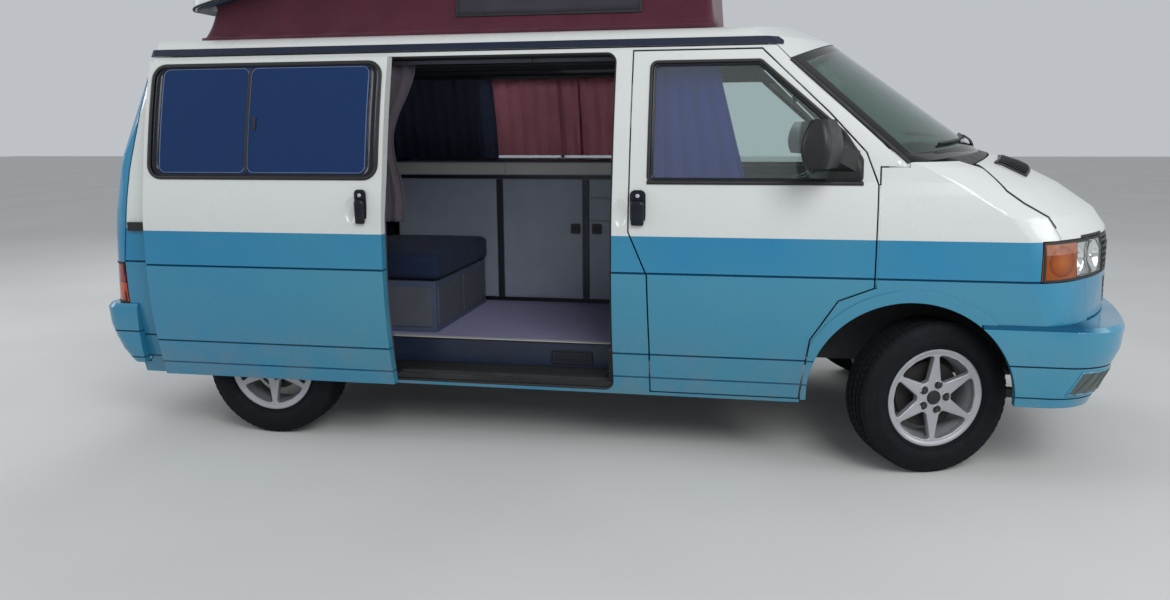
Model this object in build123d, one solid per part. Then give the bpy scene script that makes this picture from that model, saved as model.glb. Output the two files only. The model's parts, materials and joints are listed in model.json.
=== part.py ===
from build123d import *
from math import cos, radians, sin
import os

# Camper van with a rear-hinged pop-top, drawn in millimetres.
# +X forward, +Y to the van's left, +Z up. The origin is on the ground, in the middle of the overall box.

# Driving dimensions of the whole vehicle
LENGTH = 4700
WHEELBASE = 2920
FRONT_OVERHANG = 918.5
FRONT_AXLE_X = LENGTH / 2 - FRONT_OVERHANG
REAR_AXLE_X = FRONT_AXLE_X - WHEELBASE
FRONT_TRACK = 1589
REAR_TRACK = 1554
DOOR_WALL = 55
ROOF_WALL = 32
GAP = 6.5
GLASS = 5

# Heights on the body side
SILL_Z = 270
CREASE_Z = 830
BELT_Z = 982
WINDOW_SILL_Z = 1210
GUTTER_Z = 1765
FLOOR_Z = 447
FLOOR_THICK = 40

# Tyre and rim, 205/65 R15
TYRE_R = 323.5
TYRE_W = 205
RIM_SEAT_R = 190.5
RIM_FLANGE_R = 207.8
SPOKES = 6
BOLTS = 5
BOLT_CIRCLE_R = 56
MOUNT_FACE = 45
KINGPIN_OFFSET = 130
KINGPIN_R = 24
KINGPIN_REACH = 93
REST_STEER = 20

# Half width that every cutting block reaches, well outside the body
FAR = 1200

# Flank of the body: half width at height, going up, and a point that each arc passes through
FLANK = {
    "sill": (835, SILL_Z),
    "sill_to_crease": (894, 520),
    "crease": (920, CREASE_Z),
    "belt": (915, BELT_Z),
    "belt_to_window": (904, 1105),
    "window_sill": (884, WINDOW_SILL_Z),
    "window_to_gutter": (826, 1500),
    "gutter": (752, GUTTER_Z),
    "ring_foot": (735, 1800),
    "ring_corner": (702, 1832),
    "ring_top": (655, 1845),
    "crown": (0, 1872),
}

# Plan outlines of the body at rising heights, one row each.
# Columns: height, half width, front x, bow radius of the front, front corner radius, rear x, rear corner radius
PLANS = [
    (200, 925, 2300, 1400, 330, -2312, 140),
    (660, 925, 2323, 1290, 320, -2314, 140),
    (930, 924, 2325, 1150, 300, -2302, 145),
    (1000, 922, 2308, 1130, 320, -2297, 145),
    (1075, 917, 2252, 1160, 400, -2286, 135),
    (1180, 900, 2100, 1120, 460, -2266, 115),
    (1265, 888, 1930, 1080, 420, -2246, 95),
    (1322, 878, 1760, 1060, 200, -2230, 90),
    (1800, 748, 1095, 1000, 90, -2090, 80),
    (1900, 715, 850, 1000, 90, -2054, 80),
]
REAR_BOW_R = 9000

os.makedirs("parts", exist_ok=True)


def save(node, *solids):
    """Write the solids of one node to its STEP file."""
    shapes = []
    for item in solids:
        shapes += list(item.solids())
    shape = shapes[0] if len(shapes) == 1 else Compound(children=shapes)
    export_step(shape, f"parts/{node}.step")


def block(x0, x1, y0, y1, z0, z1):
    """Box between two opposite corners."""
    box = Box(x1 - x0, y1 - y0, z1 - z0)
    return Pos((x0 + x1) / 2, (y0 + y1) / 2, (z0 + z1) / 2) * box


def side_prism(points, y0, y1, radius=0):
    """Outline of (x, z) points, its corners rounded by radius, run from y0 to y1."""
    if radius:
        wire = FilletPolyline(*points, radius=radius, close=True)
    else:
        wire = Polyline(*points, close=True)
    face = make_face(wire)
    # The XZ plane's normal is -Y, so the outline is set at the far side and extruded back.
    return extrude(Plane.XZ.offset(-y1) * face, amount=y1 - y0)


def mirrored(shape):
    """The same piece on the other side of the van."""
    return mirror(shape, about=Plane.XZ)


def rod(start, end, radius):
    """Round bar between two points."""
    axis = Vector(*end) - Vector(*start)
    plane = Plane(origin=Vector(*start), z_dir=axis)
    return extrude(plane * Circle(radius), amount=axis.length)


# Body envelope: a flank section run lengthwise, cut by the lofted plan outlines

def cross_section(side, top, bottom):
    """Closed face across the van, drawn in from the outer skin by side and top."""
    p = {name: (w - side, z - top * (z > GUTTER_Z)) for name, (w, z) in FLANK.items()}
    if bottom < SILL_Z:
        p["sill"] = (p["sill"][0], bottom)
    edges = []
    for way in (1, -1):
        q = {name: (way * w, z) for name, (w, z) in p.items()}
        edges += [
            Line((0, bottom), q["sill"]),
            ThreePointArc(q["sill"], q["sill_to_crease"], q["crease"]),
            Line(q["crease"], q["belt"]),
            ThreePointArc(q["belt"], q["belt_to_window"], q["window_sill"]),
            ThreePointArc(q["window_sill"], q["window_to_gutter"], q["gutter"]),
            Line(q["gutter"], q["ring_foot"]),
            ThreePointArc(q["ring_foot"], q["ring_corner"], q["ring_top"]),
        ]
    roof_y, roof_z = p["ring_top"]
    edges.append(ThreePointArc((roof_y, roof_z), (0, FLANK["crown"][1] - top), (-roof_y, roof_z)))
    return make_face(Wire(edges))


def plan_outline(z, half_w, front_x, bow_r, corner_r, rear_x, rear_corner_r, inset):
    """Closed face in plan: a bowed nose and tail joined to straight sides by corner arcs."""
    w = half_w - inset
    halves = []
    for tip_x, radius, corner, way in (
        (front_x - inset, bow_r - inset, corner_r, 1),
        (rear_x + inset, REAR_BOW_R, rear_corner_r, -1),
    ):
        centre = tip_x - way * radius
        # The corner arc touches the side line and the bow from inside.
        cy = w - corner
        cx = centre + way * ((radius - corner) ** 2 - cy**2) ** 0.5
        reach = radius / (radius - corner)
        touch = (centre + (cx - centre) * reach, cy * reach)
        mid_dir = Vector(touch[0] - cx, touch[1] - cy).normalized() + Vector(0, 1)
        mid_dir = mid_dir.normalized()
        middle = (cx + mid_dir.X * corner, cy + mid_dir.Y * corner)
        halves.append((tip_x, touch, middle, (cx, w)))
    (fx, f_touch, f_mid, f_side), (rx, r_touch, r_mid, r_side) = halves

    def flip(point):
        return (point[0], -point[1])

    edges = [
        ThreePointArc(flip(f_touch), (fx, 0), f_touch),
        ThreePointArc(f_touch, f_mid, f_side),
        Line(f_side, r_side),
        ThreePointArc(r_side, r_mid, r_touch),
        ThreePointArc(r_touch, (rx, 0), flip(r_touch)),
        ThreePointArc(flip(r_touch), flip(r_mid), flip(r_side)),
        Line(flip(r_side), flip(f_side)),
        ThreePointArc(flip(f_side), flip(f_mid), flip(f_touch)),
    ]
    return Pos(0, 0, z) * make_face(Wire(edges))


def envelope(side, top=None, bottom=SILL_Z):
    """Solid of the whole body, drawn in from the outer skin."""
    top = side if top is None else top
    plans = loft([plan_outline(*row, side) for row in PLANS], ruled=True)
    run = extrude(Plane.YZ.offset(-LENGTH / 2) * cross_section(side, top, bottom), amount=LENGTH)
    return run & plans


OUTER = envelope(0)
INNER = envelope(DOOR_WALL, ROOF_WALL, SILL_Z - 50)
SHELL = OUTER - INNER
GLASS_SKIN = envelope(3, 3) - envelope(3 + GLASS, 3 + GLASS, SILL_Z - 50)

# Pressed grooves round the body: one under the crease and two along the sill
GROOVE_DEPTH = 6
GROOVE_BANDS = [(821, 829), (462, 469), (353, 360)]
groove_ring = OUTER - envelope(GROOVE_DEPTH, GROOVE_DEPTH, SILL_Z - 50)
GROOVES = [groove_ring & block(-2400, 2400, -FAR, FAR, low, high) for low, high in GROOVE_BANDS]


def grooved(panel):
    """Body panel with the pressed grooves cut along it."""
    for groove in GROOVES:
        panel -= groove
    return panel


# Openings in the body side, as (x, z) outlines
DOOR_OUTLINE = [
    (222, 1752),
    (222, 998),
    (302, 815),
    (312, 500),
    (312, 285),
    (955, 285),
    (963, 365),
    (990, 560),
    (1095, 728),
    (1235, 785),
    (1235, 1200),
    (1184, 1330),
    (1035, 1490),
    (886, 1632),
    (760, 1752),
]
DOOR_WINDOW = [(305, 1206), (1165, 1206), (1165, 1300), (1095, 1405), (812, 1650), (755, 1700), (305, 1700)]
SLIDE_OUTLINE = [(-1010, 285), (155, 285), (155, 1745), (-1010, 1745)]
SLIDE_WINDOW = [(-975, 1220), (122, 1220), (122, 1716), (-975, 1716)]
SLIDE_BACK = -985
SLIDE_OUT = 95
REAR_WINDOW = [(-2045, 1220), (-1120, 1220), (-1120, 1716), (-1962, 1716)]
ARCH_FRONT = (1390, 325, 408)
ARCH_REAR = (REAR_AXLE_X, 320, 385)
BUMPER_FRONT_Z = (315, 650)
BUMPER_REAR_Z = (330, 620)
BUMPER_REAR_END_X = -2125
LIP_WIDTH = 48
LIP_PROUD = 7
LIP_ROOT = 20

# Middles of the finger recesses: beside the front door's handle and on the closed sliding door
HANDLE_CUPS = {"front": (190, 922, 1095), "slide": (10, 922, 1105)}

# Edge between the body side and the tailgate, and the outline of the windscreen, in side view
TAIL_EDGE = [(-2172, 620), (-2168, 827), (-2149, 980), (-2130, 1241), (-2095, 1450), (-2052, 1765)]
SCREEN = [(1345, 1288), (876, 1706), (1120, 1816), (1500, 1816), (1810, 1328)]
ROOF_ZONE = [(-2500, 1768), (813, 1768), (873, 1709), (1124, 1820), (1400, 2000), (-2500, 2000)]


def shrink(points, by):
    """Outline moved inwards by a distance, corners kept."""
    face = make_face(Polyline(*points, close=True))
    inner = offset(face, amount=-by, kind=Kind.INTERSECTION)
    return inner


def outline_prism(face, y0, y1):
    """Run a face drawn in (x, z) from y0 to y1."""
    return extrude(Plane.XZ.offset(-y1) * face, amount=y1 - y0)


def arch_cut(arch, y0, y1):
    """Round wheel opening with straight sides down."""
    x, z, r = arch
    round_part = Plane.XZ.offset(-y1) * Pos(x, z) * Circle(r)
    return extrude(round_part, amount=y1 - y0) + block(x - r, x + r, y0, y1, 100, z)


def arch_lip(arch, way):
    """Flared edge that stands proud of the skin round a wheel opening."""
    x, z, r = arch
    y0, y1 = sorted((way * 700, way * FAR))
    band = arch_cut((x, z, r + LIP_WIDTH), y0, y1) - arch_cut(arch, y0, y1)
    proud = envelope(-LIP_PROUD, 0) - envelope(LIP_ROOT, LIP_ROOT, SILL_Z - 50)
    return proud & band & block(x - 600, x + 600, y0, y1, SILL_Z + 15, 1000)


def cup(spot, way):
    """Finger recess behind a door handle: an upright ellipsoid sunk into the skin."""
    x, y, z = spot
    return Pos(x, way * y, z) * scale(Sphere(1), by=(38, 26, 84))


# Body sides

def body_side(way, sliding):
    """One flank behind the front door and round its frame, way +1 on the left and -1 on the right."""
    y0, y1 = sorted((way * 500, way * FAR))
    side = SHELL & block(-2170, 1300, y0, y1, SILL_Z - 10, GUTTER_Z - 3)
    side -= side_prism(DOOR_OUTLINE, y0, y1)
    tail_zone = [(-2500, 200), (-2172, 200)] + TAIL_EDGE + [(-2500, 1800)]
    side -= Pos(GAP / 2, 0, 0) * side_prism(tail_zone, y0, y1)
    side -= block(-2500, BUMPER_REAR_END_X, y0, y1, BUMPER_REAR_Z[0] - GAP, BUMPER_REAR_Z[1])
    side -= block(1235, 1400, y0, y1, 200, 1274) + block(955, 1400, y0, y1, 200, 790)
    side -= side_prism([(1235, 1274), (1338, 1274), (868, 1709), (808, 1770), (1500, 1770), (1500, 1274)], y0, y1)
    side -= arch_cut(ARCH_REAR, y0, y1)
    if sliding:
        side -= side_prism(SLIDE_OUTLINE, y0, y1, 45)
    else:
        side -= side_prism(SLIDE_WINDOW, y0, y1, 60)
    side -= side_prism(REAR_WINDOW, y0, y1, 60)
    return grooved(side) + arch_lip(ARCH_REAR, way) - cup(HANDLE_CUPS["front"], way)


def side_pane(points, way):
    """Pane that fills a window opening of the body side."""
    y0, y1 = sorted((way * 500, way * FAR))
    return GLASS_SKIN & side_prism(points, y0, y1, 60)


SIDE_RIGHT = body_side(-1, True)
SIDE_LEFT = body_side(1, False)
save("side_right", SIDE_RIGHT)
save("side_left", SIDE_LEFT)
save("side_windows", side_pane(REAR_WINDOW, -1), side_pane(REAR_WINDOW, 1), side_pane(SLIDE_WINDOW, 1))

# Sliding door, stored open: set back and out from its opening

slide_move = Pos(SLIDE_BACK, -SLIDE_OUT, 0)
slide_prism = outline_prism(shrink(SLIDE_OUTLINE, GAP), -FAR, -500)
sliding_door = grooved(SHELL & slide_prism) - side_prism(SLIDE_WINDOW, -FAR, -500, 60)
sliding_door -= cup(HANDLE_CUPS["slide"], -1)
save("sliding_door", slide_move * sliding_door)
save("sliding_door_window", slide_move * side_pane(SLIDE_WINDOW, -1))

# Rails and arms that carry the sliding door
RAIL_Y = -916
RAIL_Z = (970, 1010)
centre_rail = block(-2130, -1030, RAIL_Y - 14, RAIL_Y + 30, *RAIL_Z) - OUTER
centre_arm = block(-1960, -1900, RAIL_Y - 60, RAIL_Y - 12, RAIL_Z[0] + 5, RAIL_Z[1] - 5)
centre_arm -= slide_move * sliding_door
lower_arm = block(-905, -865, -905, -771, 310, 328) - slide_move * sliding_door - SIDE_RIGHT
save("door_rails", centre_rail + centre_arm, lower_arm)

# Front doors


def front_door(way):
    """Front door panel with its window cut, as thick as the wall."""
    y0, y1 = sorted((way * 400, way * FAR))
    inner = shrink(DOOR_OUTLINE, GAP)
    return grooved(SHELL & outline_prism(inner, y0, y1)) - side_prism(DOOR_WINDOW, y0, y1, 25)


def door_pane(way):
    """Glass of the front door."""
    y0, y1 = sorted((way * 400, way * FAR))
    return GLASS_SKIN & side_prism(DOOR_WINDOW, y0, y1, 25)


# Sections of the mirror housing going up: height, length along the van, width across it
MIRROR_SECTIONS = [(1272, 84, 182), (1298, 104, 200), (1420, 92, 186), (1458, 60, 146)]
MIRROR_SPOT = (1000, 1020)
MIRROR_TURN = 20


def door_mirror(way):
    """Housing of the outside mirror with its foot at the window's front corner."""
    head = loft([Pos(0, 0, z) * RectangleRounded(w, d, 24) for z, w, d in MIRROR_SECTIONS])
    head = Pos(*MIRROR_SPOT) * Rot(0, 0, MIRROR_TURN) * head
    foot = loft(
        [
            Plane(origin=(1100, 868, 1290), z_dir=(0, 1, 0)) * Rectangle(90, 110),
            Plane(origin=(1036, 950, 1322), z_dir=(0, 1, 0)) * Rectangle(60, 70),
        ]
    )
    piece = head + foot - envelope(-1, -1)
    return piece if way > 0 else mirrored(piece)


for name, way in (("right", -1), ("left", 1)):
    save(f"door_{name}", front_door(way))
    save(f"door_window_{name}", door_pane(way))
    save(f"mirror_{name}", door_mirror(way))

# Roof: a fixed ring round the lifting lid, with its gutters

LID_HINGE = (-2050, 1890)
LID_ARM_Y = (180, 220)
LID_PIN_R = 8
GUTTER_ENDS = (-2128, 845)
HATCH = [(-1760, -560), (520, -560), (520, 560), (-1760, 560)]
roof = SHELL & side_prism(ROOF_ZONE, -FAR, FAR)
hatch = extrude(Pos(0, 0, 1600) * make_face(FilletPolyline(*HATCH, radius=80, close=True)), amount=400)
bracket = block(LID_HINGE[0] - 22, LID_HINGE[0] + 22, LID_ARM_Y[1] + 1, LID_ARM_Y[1] + 13, 1840, LID_HINGE[1] + 16)
lid_pin = Pos(LID_HINGE[0], LID_ARM_Y[0] + 26, LID_HINGE[1]) * Rot(90, 0, 0) * Cylinder(LID_PIN_R, 44)
lid_mount = (bracket + lid_pin) - INNER
save("roof_panel", (roof - hatch) + lid_mount + mirrored(lid_mount))

# Rain gutters: a dark rolled strip along each top edge of the flank
gutter_ring = envelope(-9, 0) - envelope(-1, 0, SILL_Z - 50)
gutter = gutter_ring & block(*GUTTER_ENDS, 700, FAR, GUTTER_Z + 4, GUTTER_Z + 34)
save("roof_gutters", gutter, mirrored(gutter))

# Nose: bonnet, fenders, front panel with grille and lamps, windscreen

BONNET_FRONT_Z = 985
LAMP_REAR_X = 1855
LAMP_SPLIT_X = 2016
LAMP_INNER_Y = 560
LAMP_Z = (827, 978)
NOSE_HALF_W = 735

# Plan of the bonnet's edge, going forward: x and half width
BONNET_EDGE = [(1480, 540), (1619, 690), (1725, 828), (1790, 840), (2500, 840)]


def cowl_arc(x_centre, radius):
    """Region ahead of a bowed line across the van, in plan."""
    disc = Pos(x_centre - radius, 0, 600) * extrude(Circle(radius), amount=900)
    return block(0, 2600, -FAR, FAR, 600, 1500) - disc


skin_20 = OUTER - envelope(20, 20, SILL_Z - 50)
edge_back = [(x, -w) for x, w in reversed(BONNET_EDGE)]
bonnet_face = make_face(Polyline(*BONNET_EDGE, *edge_back, close=True))
bonnet_zone = extrude(Pos(0, 0, BONNET_FRONT_Z) * bonnet_face, amount=400)
bonnet_room = extrude(Pos(0, 0, 200) * offset(bonnet_face, amount=GAP, kind=Kind.INTERSECTION), amount=1200)
save("bonnet", skin_20 & bonnet_zone & cowl_arc(1792, 1600))

fender_zone = block(1235 + GAP, 2500, -FAR, FAR, 300, 1268) + block(1350, 2500, -FAR, FAR, 1268, 1290)
fender_zone += block(958, 1235 + GAP, -FAR, FAR, 285, 785) - side_prism(DOOR_OUTLINE, -FAR, FAR)
fender_zone -= bonnet_room & block(1200, 2500, -FAR, FAR, BONNET_FRONT_Z - GAP, 1400)
fender_zone -= block(1200, 2500, -NOSE_HALF_W - GAP, NOSE_HALF_W + GAP, 200, 1400)
fender_zone -= block(1650, 2500, -FAR, FAR, 200, BUMPER_FRONT_Z[1])
fender_zone -= block(LAMP_REAR_X, 2500, -FAR, FAR, LAMP_Z[0] - GAP, LAMP_Z[1] + GAP)
fender_zone -= arch_cut(ARCH_FRONT, -FAR, FAR)
screen_zone = side_prism(SCREEN, -FAR, FAR)
fenders = grooved(skin_20 & fender_zone) - screen_zone
for way in (-1, 1):
    lip = arch_lip(ARCH_FRONT, way) & block(958, 2000, -FAR, FAR, 285, 1000)
    fenders += lip & fender_zone
save("fenders", fenders)

LAMP_FACE = OUTER - envelope(45, 45, SILL_Z - 50)
lamp_band = LAMP_FACE & block(LAMP_REAR_X + 4, 2500, LAMP_INNER_Y, FAR, *LAMP_Z)
indicator = lamp_band & block(1800, LAMP_SPLIT_X, 400, FAR, 800, 1000)
headlamp = lamp_band & block(LAMP_SPLIT_X + 4, 2500, 400, FAR, 800, 1000)
save("indicators", indicator, mirrored(indicator))
save("headlamps", headlamp, mirrored(headlamp))

nose_skin = envelope(2, 2) - envelope(34, 34, SILL_Z - 50)

# Rows of slats, one for each mouth of the grille: half width, frame bottom and top, number of slats
GRILLE_ROWS = [(550, 824, 980, 5), (505, 690, 790, 3)]
GRILLE_FRAME = 14
SLAT_THICK = 11
grille = Part()
for half_w, low, high, count in GRILLE_ROWS:
    rim_zone = block(2000, 2500, -half_w, half_w, low, high)
    mouth = block(2000, 2500, -half_w + GRILLE_FRAME, half_w - GRILLE_FRAME, low + GRILLE_FRAME, high - GRILLE_FRAME)
    grille += nose_skin & (rim_zone - mouth)
    step_z = (high - low) / (count + 1)
    for index in range(count):
        slat_z = low + step_z * (index + 1)
        slat = block(2000, 2500, -half_w + 4, half_w - 4, slat_z - SLAT_THICK / 2, slat_z + SLAT_THICK / 2)
        grille += nose_skin & slat
# Upright tie behind the slats, which clears the front panel between the two mouths
tie_x = PLANS[2][2] - 38
grille += block(tie_x - 16, tie_x, -30, 30, 700, 960) & envelope(3, 3)
for _, low, high, _ in GRILLE_ROWS:
    grille += block(tie_x - 2, tie_x + 8, -30, 30, low + 10, high - 20) & envelope(3, 3)
save("grille", grille)
panel_zone = block(1700, 2500, -NOSE_HALF_W, NOSE_HALF_W, BUMPER_FRONT_Z[1] + 6, 820)
panel_mouth = block(1700, 2500, -509, 509, 686, 794)
save("front_panel", (nose_skin & panel_zone) - panel_mouth)

save("windscreen", GLASS_SKIN & screen_zone)

cowl = nose_skin & block(1500, 1800, -735, 735, 1265, 1323)
save("cowl", cowl - cowl_arc(1785, 1600) - screen_zone)

# Bumpers

# Sections going up, one row each: height, half width, and how far the end reaches
FRONT_BUMPER = [(315, 900, 2240), (372, 912, 2264), (452, 920, 2300), (552, 925, 2343), (632, 925, 2350), (650, 917, 2336)]
REAR_BUMPER = [(330, 900, 2252), (396, 912, 2298), (456, 920, 2322), (520, 925, 2342), (602, 925, 2350), (620, 917, 2338)]
FRONT_BUMPER_CURVES = (2400, 230)
REAR_BUMPER_CURVES = (REAR_BOW_R, 65)
BUMPER_WALL = 45
BUMPER_GROOVES = [(484, 490), (353, 358)]
# The shelf on top of a bumper: its thickness and how far it runs in under the body panels
BUMPER_SHELF = 10
SHELF_LAP = 35
BODY_CORE = envelope(SHELF_LAP, SHELF_LAP, 200)


def bumper(rows, curves, way, keep):
    """Bumper shell, way +1 at the front and -1 at the rear. Its curves are the radii of its bow and its corners."""
    sides = []
    for inset, low, high in ((0, 0, 0), (BUMPER_WALL, -20, -BUMPER_SHELF), (GROOVE_DEPTH, 0, 0)):
        lifts = [low] + [0] * (len(rows) - 2) + [high]
        plans = []
        for (z, half_w, reach), lift in zip(rows, lifts):
            plans.append(plan_outline(z + lift, half_w, reach, *curves, -2200, 110, inset))
        sides.append(loft(plans, ruled=True))
    outer, inner, groove_floor = sides
    shell = outer - inner
    for low, high in BUMPER_GROOVES:
        shell -= (outer - groove_floor) & block(-2500, 2500, -FAR, FAR, low, high)
    if way < 0:
        shell = mirror(shell, about=Plane.YZ)
    shelf_z = rows[-1][0] - BUMPER_SHELF
    return (shell & keep) - (BODY_CORE & block(-2500, 2500, -FAR, FAR, shelf_z - 1, 800))


TOW_EYE_W = 16
TOW_EYE_R = 17


def tow_eye(x, z, y0, reach):
    """Towing eye: a ring across the van on a short plate that runs inwards under the bumper."""
    eye = Pos(x, y0 + TOW_EYE_W / 2, z) * Rot(90, 0, 0) * (Cylinder(32, TOW_EYE_W) - Cylinder(TOW_EYE_R, TOW_EYE_W))
    x0, x1 = sorted((x - reach, x - 26 * (1 if reach > 0 else -1)))
    return eye + block(x0, x1, y0, y0 + TOW_EYE_W, z - 20, z + 20)


front_keep = block(1656, 2500, -FAR, FAR, *BUMPER_FRONT_Z) - arch_cut(ARCH_FRONT, -FAR, FAR)
save("front_bumper", bumper(FRONT_BUMPER, FRONT_BUMPER_CURVES, 1, front_keep))
rear_keep = block(-2500, BUMPER_REAR_END_X, -FAR, FAR, *BUMPER_REAR_Z)
save("rear_bumper", bumper(REAR_BUMPER, REAR_BUMPER_CURVES, -1, rear_keep))

# Tailgate with its glass, and the tail lamps

TAIL_TOP_Z = 1750
tail_zone = [(-2500, 620)] + TAIL_EDGE + [(-2500, 1765)]
tail_cut = Pos(-GAP / 2, 0, 0) * side_prism(tail_zone, -FAR, FAR) & block(-2500, -2000, -FAR, FAR, 626, TAIL_TOP_Z)
tail_window = Plane.YZ.offset(-2400) * RectangleRounded(1280, 470, 60)
tail_window = extrude(Pos(0, 0, 1445) * tail_window, amount=400)
tail_wall = OUTER - envelope(40, 30, SILL_Z - 50)
lamp_hole = block(-2500, -2100, 740, FAR, 615, 820)
tailgate = (tail_wall & tail_cut) - tail_window - lamp_hole - mirrored(lamp_hole)
save("tailgate", tailgate)
save("tailgate_window", GLASS_SKIN & tail_cut & tail_window)
tail_lamp = LAMP_FACE & block(-2500, -2175, 745, FAR, 626, 815)
save("tail_lamps", tail_lamp, mirrored(tail_lamp))

# Floor with sills, step well and wheel housings

floor = block(-2190, 915, -770, 770, FLOOR_Z - FLOOR_THICK, FLOOR_Z)
floor += block(905, 1290, -470, 470, FLOOR_Z - FLOOR_THICK, FLOOR_Z)
floor += block(-2230, -2190, -700, 700, 420, 615)
floor += block(-2196, -2168, 344, 376, 245, FLOOR_Z) + tow_eye(-2262, 265, 352, -96)
floor -= block(-960, 120, -800, -630, 300, 600)
step = block(-960, 120, -770, -590, 305, 320) + block(-960, 120, -630, -615, 320, FLOOR_Z - 5)
step += block(-975, -960, -770, -600, 305, FLOOR_Z) + block(120, 135, -770, -600, 305, FLOOR_Z)
floor += step


def housing(arch, y0, y1):
    """Half drum over a wheel, closed on its inner side."""
    x, z, r = arch
    outer = Plane.XZ.offset(-y1) * Pos(x, z) * Circle(r + 14)
    drum = extrude(outer, amount=y1 - y0) & block(x - 600, x + 600, y0, y1, z + 60, 1000)
    hollow = Plane.XZ.offset(-y1 - 20) * Pos(x, z) * Circle(r)
    return drum - extrude(hollow, amount=y1 - y0 + 20 - 14)


ARCH_SPACE = (*ARCH_FRONT[:2], ARCH_FRONT[2] + 44)
ARCH_SPACE_REAR = (*ARCH_REAR[:2], ARCH_REAR[2] + 6)
front_house = housing(ARCH_SPACE, 474, 760)
rear_house = housing(ARCH_SPACE_REAR, 560, 770)
rear_room = arch_cut((*ARCH_REAR[:2], ARCH_REAR[2] + 21), 559, 900)
save("floor_pan", floor - rear_room - mirrored(rear_room))
front_house -= block(FRONT_AXLE_X - 70, FRONT_AXLE_X + 70, 400, 600, 380, 480)
save("wheel_housings", front_house, mirrored(front_house), rear_house, mirrored(rear_house))
save("firewall", block(1290, 1310, -470, 470, 330, 1255))

# Interior

dash_profile = [(1000, 1050), (1010, 1180), (1180, 1245), (1285, 1245), (1285, 900), (1120, 900)]
dash = side_prism(dash_profile, -760, 760)
save("dashboard", dash)
wheel_plane = Plane(origin=(905, 400, 1120), z_dir=(-0.42, 0, 0.9))
steering_ring = wheel_plane * Torus(190, 14)
spoke_bar = wheel_plane * Box(370, 34, 16)
hub = wheel_plane * Cylinder(55, 34)
column = rod((911, 400, 1107), (1130, 400, 1000), 26)
save("steering_wheel", (steering_ring + spoke_bar + hub + column) - dash)

CABINET_X = (-1290, -20)
CABINET_Y = 300
CABINET_BACK_Y = 780
WORKTOP_Z = (1172, 1243)
PLINTH_Z = FLOOR_Z + 30
TRIMS_X = (-681, -186)
TRIM_W = 34
DRAWER_SPLITS_Z = (920, 1047)
DOOR_GROOVE = 4
worktop = block(CABINET_X[0], CABINET_X[1], CABINET_Y - 12, CABINET_BACK_Y, *WORKTOP_Z)
worktop -= block(CABINET_X[0] + 15, CABINET_X[1] - 15, CABINET_Y + 8, CABINET_BACK_Y + 1, 1100, WORKTOP_Z[1] - 25)
save("worktop", worktop)
cabinet = block(CABINET_X[0], CABINET_X[1], CABINET_Y, CABINET_BACK_Y, PLINTH_Z, WORKTOP_Z[0] - 1)
cabinet += block(CABINET_X[0] + 20, CABINET_X[1] - 20, CABINET_Y + 45, CABINET_BACK_Y, FLOOR_Z, PLINTH_Z)
cabinet -= block(CABINET_X[0] + 18, TRIMS_X[0] - 20, CABINET_Y + 19, CABINET_BACK_Y + 1, PLINTH_Z + 18, 1180)
for trim_x in TRIMS_X:
    for edge in (trim_x - TRIM_W / 2, trim_x + TRIM_W / 2):
        cabinet -= block(edge - 2, edge + 2, CABINET_Y - 1, CABINET_Y + DOOR_GROOVE, PLINTH_Z, 1150)
for split_z in DRAWER_SPLITS_Z:
    cabinet -= block(TRIMS_X[1] + 19, CABINET_X[1], CABINET_Y - 1, CABINET_Y + DOOR_GROOVE, split_z - 2, split_z + 2)
cabinet -= block(*CABINET_X, CABINET_Y - 1, CABINET_Y + DOOR_GROOVE, 1150, 1154)
cabinet -= arch_cut((*ARCH_REAR[:2], ARCH_REAR[2] + 26), 400, 900)
save("kitchen_unit", cabinet)

bench_base = block(-1330, -770, -545, 270, FLOOR_Z, 700) - block(-1310, -790, -525, 250, FLOOR_Z - 1, 682)
save("bench_base", bench_base)
bench_seat = fillet(block(-1335, -745, -550, 275, 703, 833).edges(), 25)
bench_back = fillet(block(-1480, -1340, -550, 275, 703, 1280).edges(), 25)
save("bench_cushions", bench_seat, bench_back)


def front_seat(y):
    """Seat cushion, back and headrest of one cab seat."""
    seat = fillet(block(330, 880, y - 245, y + 245, 800, 930).edges(), 30)
    back = side_prism([(290, 850), (430, 850), (300, 1430), (185, 1430)], y - 235, y + 235, 30)
    head = side_prism([(170, 1465), (270, 1465), (240, 1625), (160, 1625)], y - 130, y + 130, 20)
    return [seat, back, head]


def seat_base(y):
    """Steel box under one cab seat."""
    return block(380, 830, y - 210, y + 210, FLOOR_Z, 797) - block(395, 815, y - 195, y + 195, FLOOR_Z - 1, 785)


save("front_seats", *front_seat(-400), *front_seat(400))
save("seat_bases", seat_base(-400), seat_base(400))


# Curtains, one row each: side of the van, x of the rear edge, and x of the front edge at the foot and at the top
CURTAIN_Z = (1190, 1720)
CURTAINS = [(1, -1240, -480, -480), (1, -460, 120, 120), (-1, -1240, -860, -835), (-1, 300, 715, 580)]


def curtain(way, rear_x, foot_x, top_x):
    """Flat hanging curtain inside a window."""
    slab = envelope(DOOR_WALL + 12, 60, SILL_Z) - envelope(DOOR_WALL + 30, 80, SILL_Z - 50)
    low, high = CURTAIN_Z
    y0, y1 = sorted((way * 500, way * FAR))
    return slab & side_prism([(rear_x, low), (foot_x, low), (top_x, high), (rear_x, high)], y0, y1)


save("curtains", *[curtain(*row) for row in CURTAINS])

# Running gear below the floor


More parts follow.
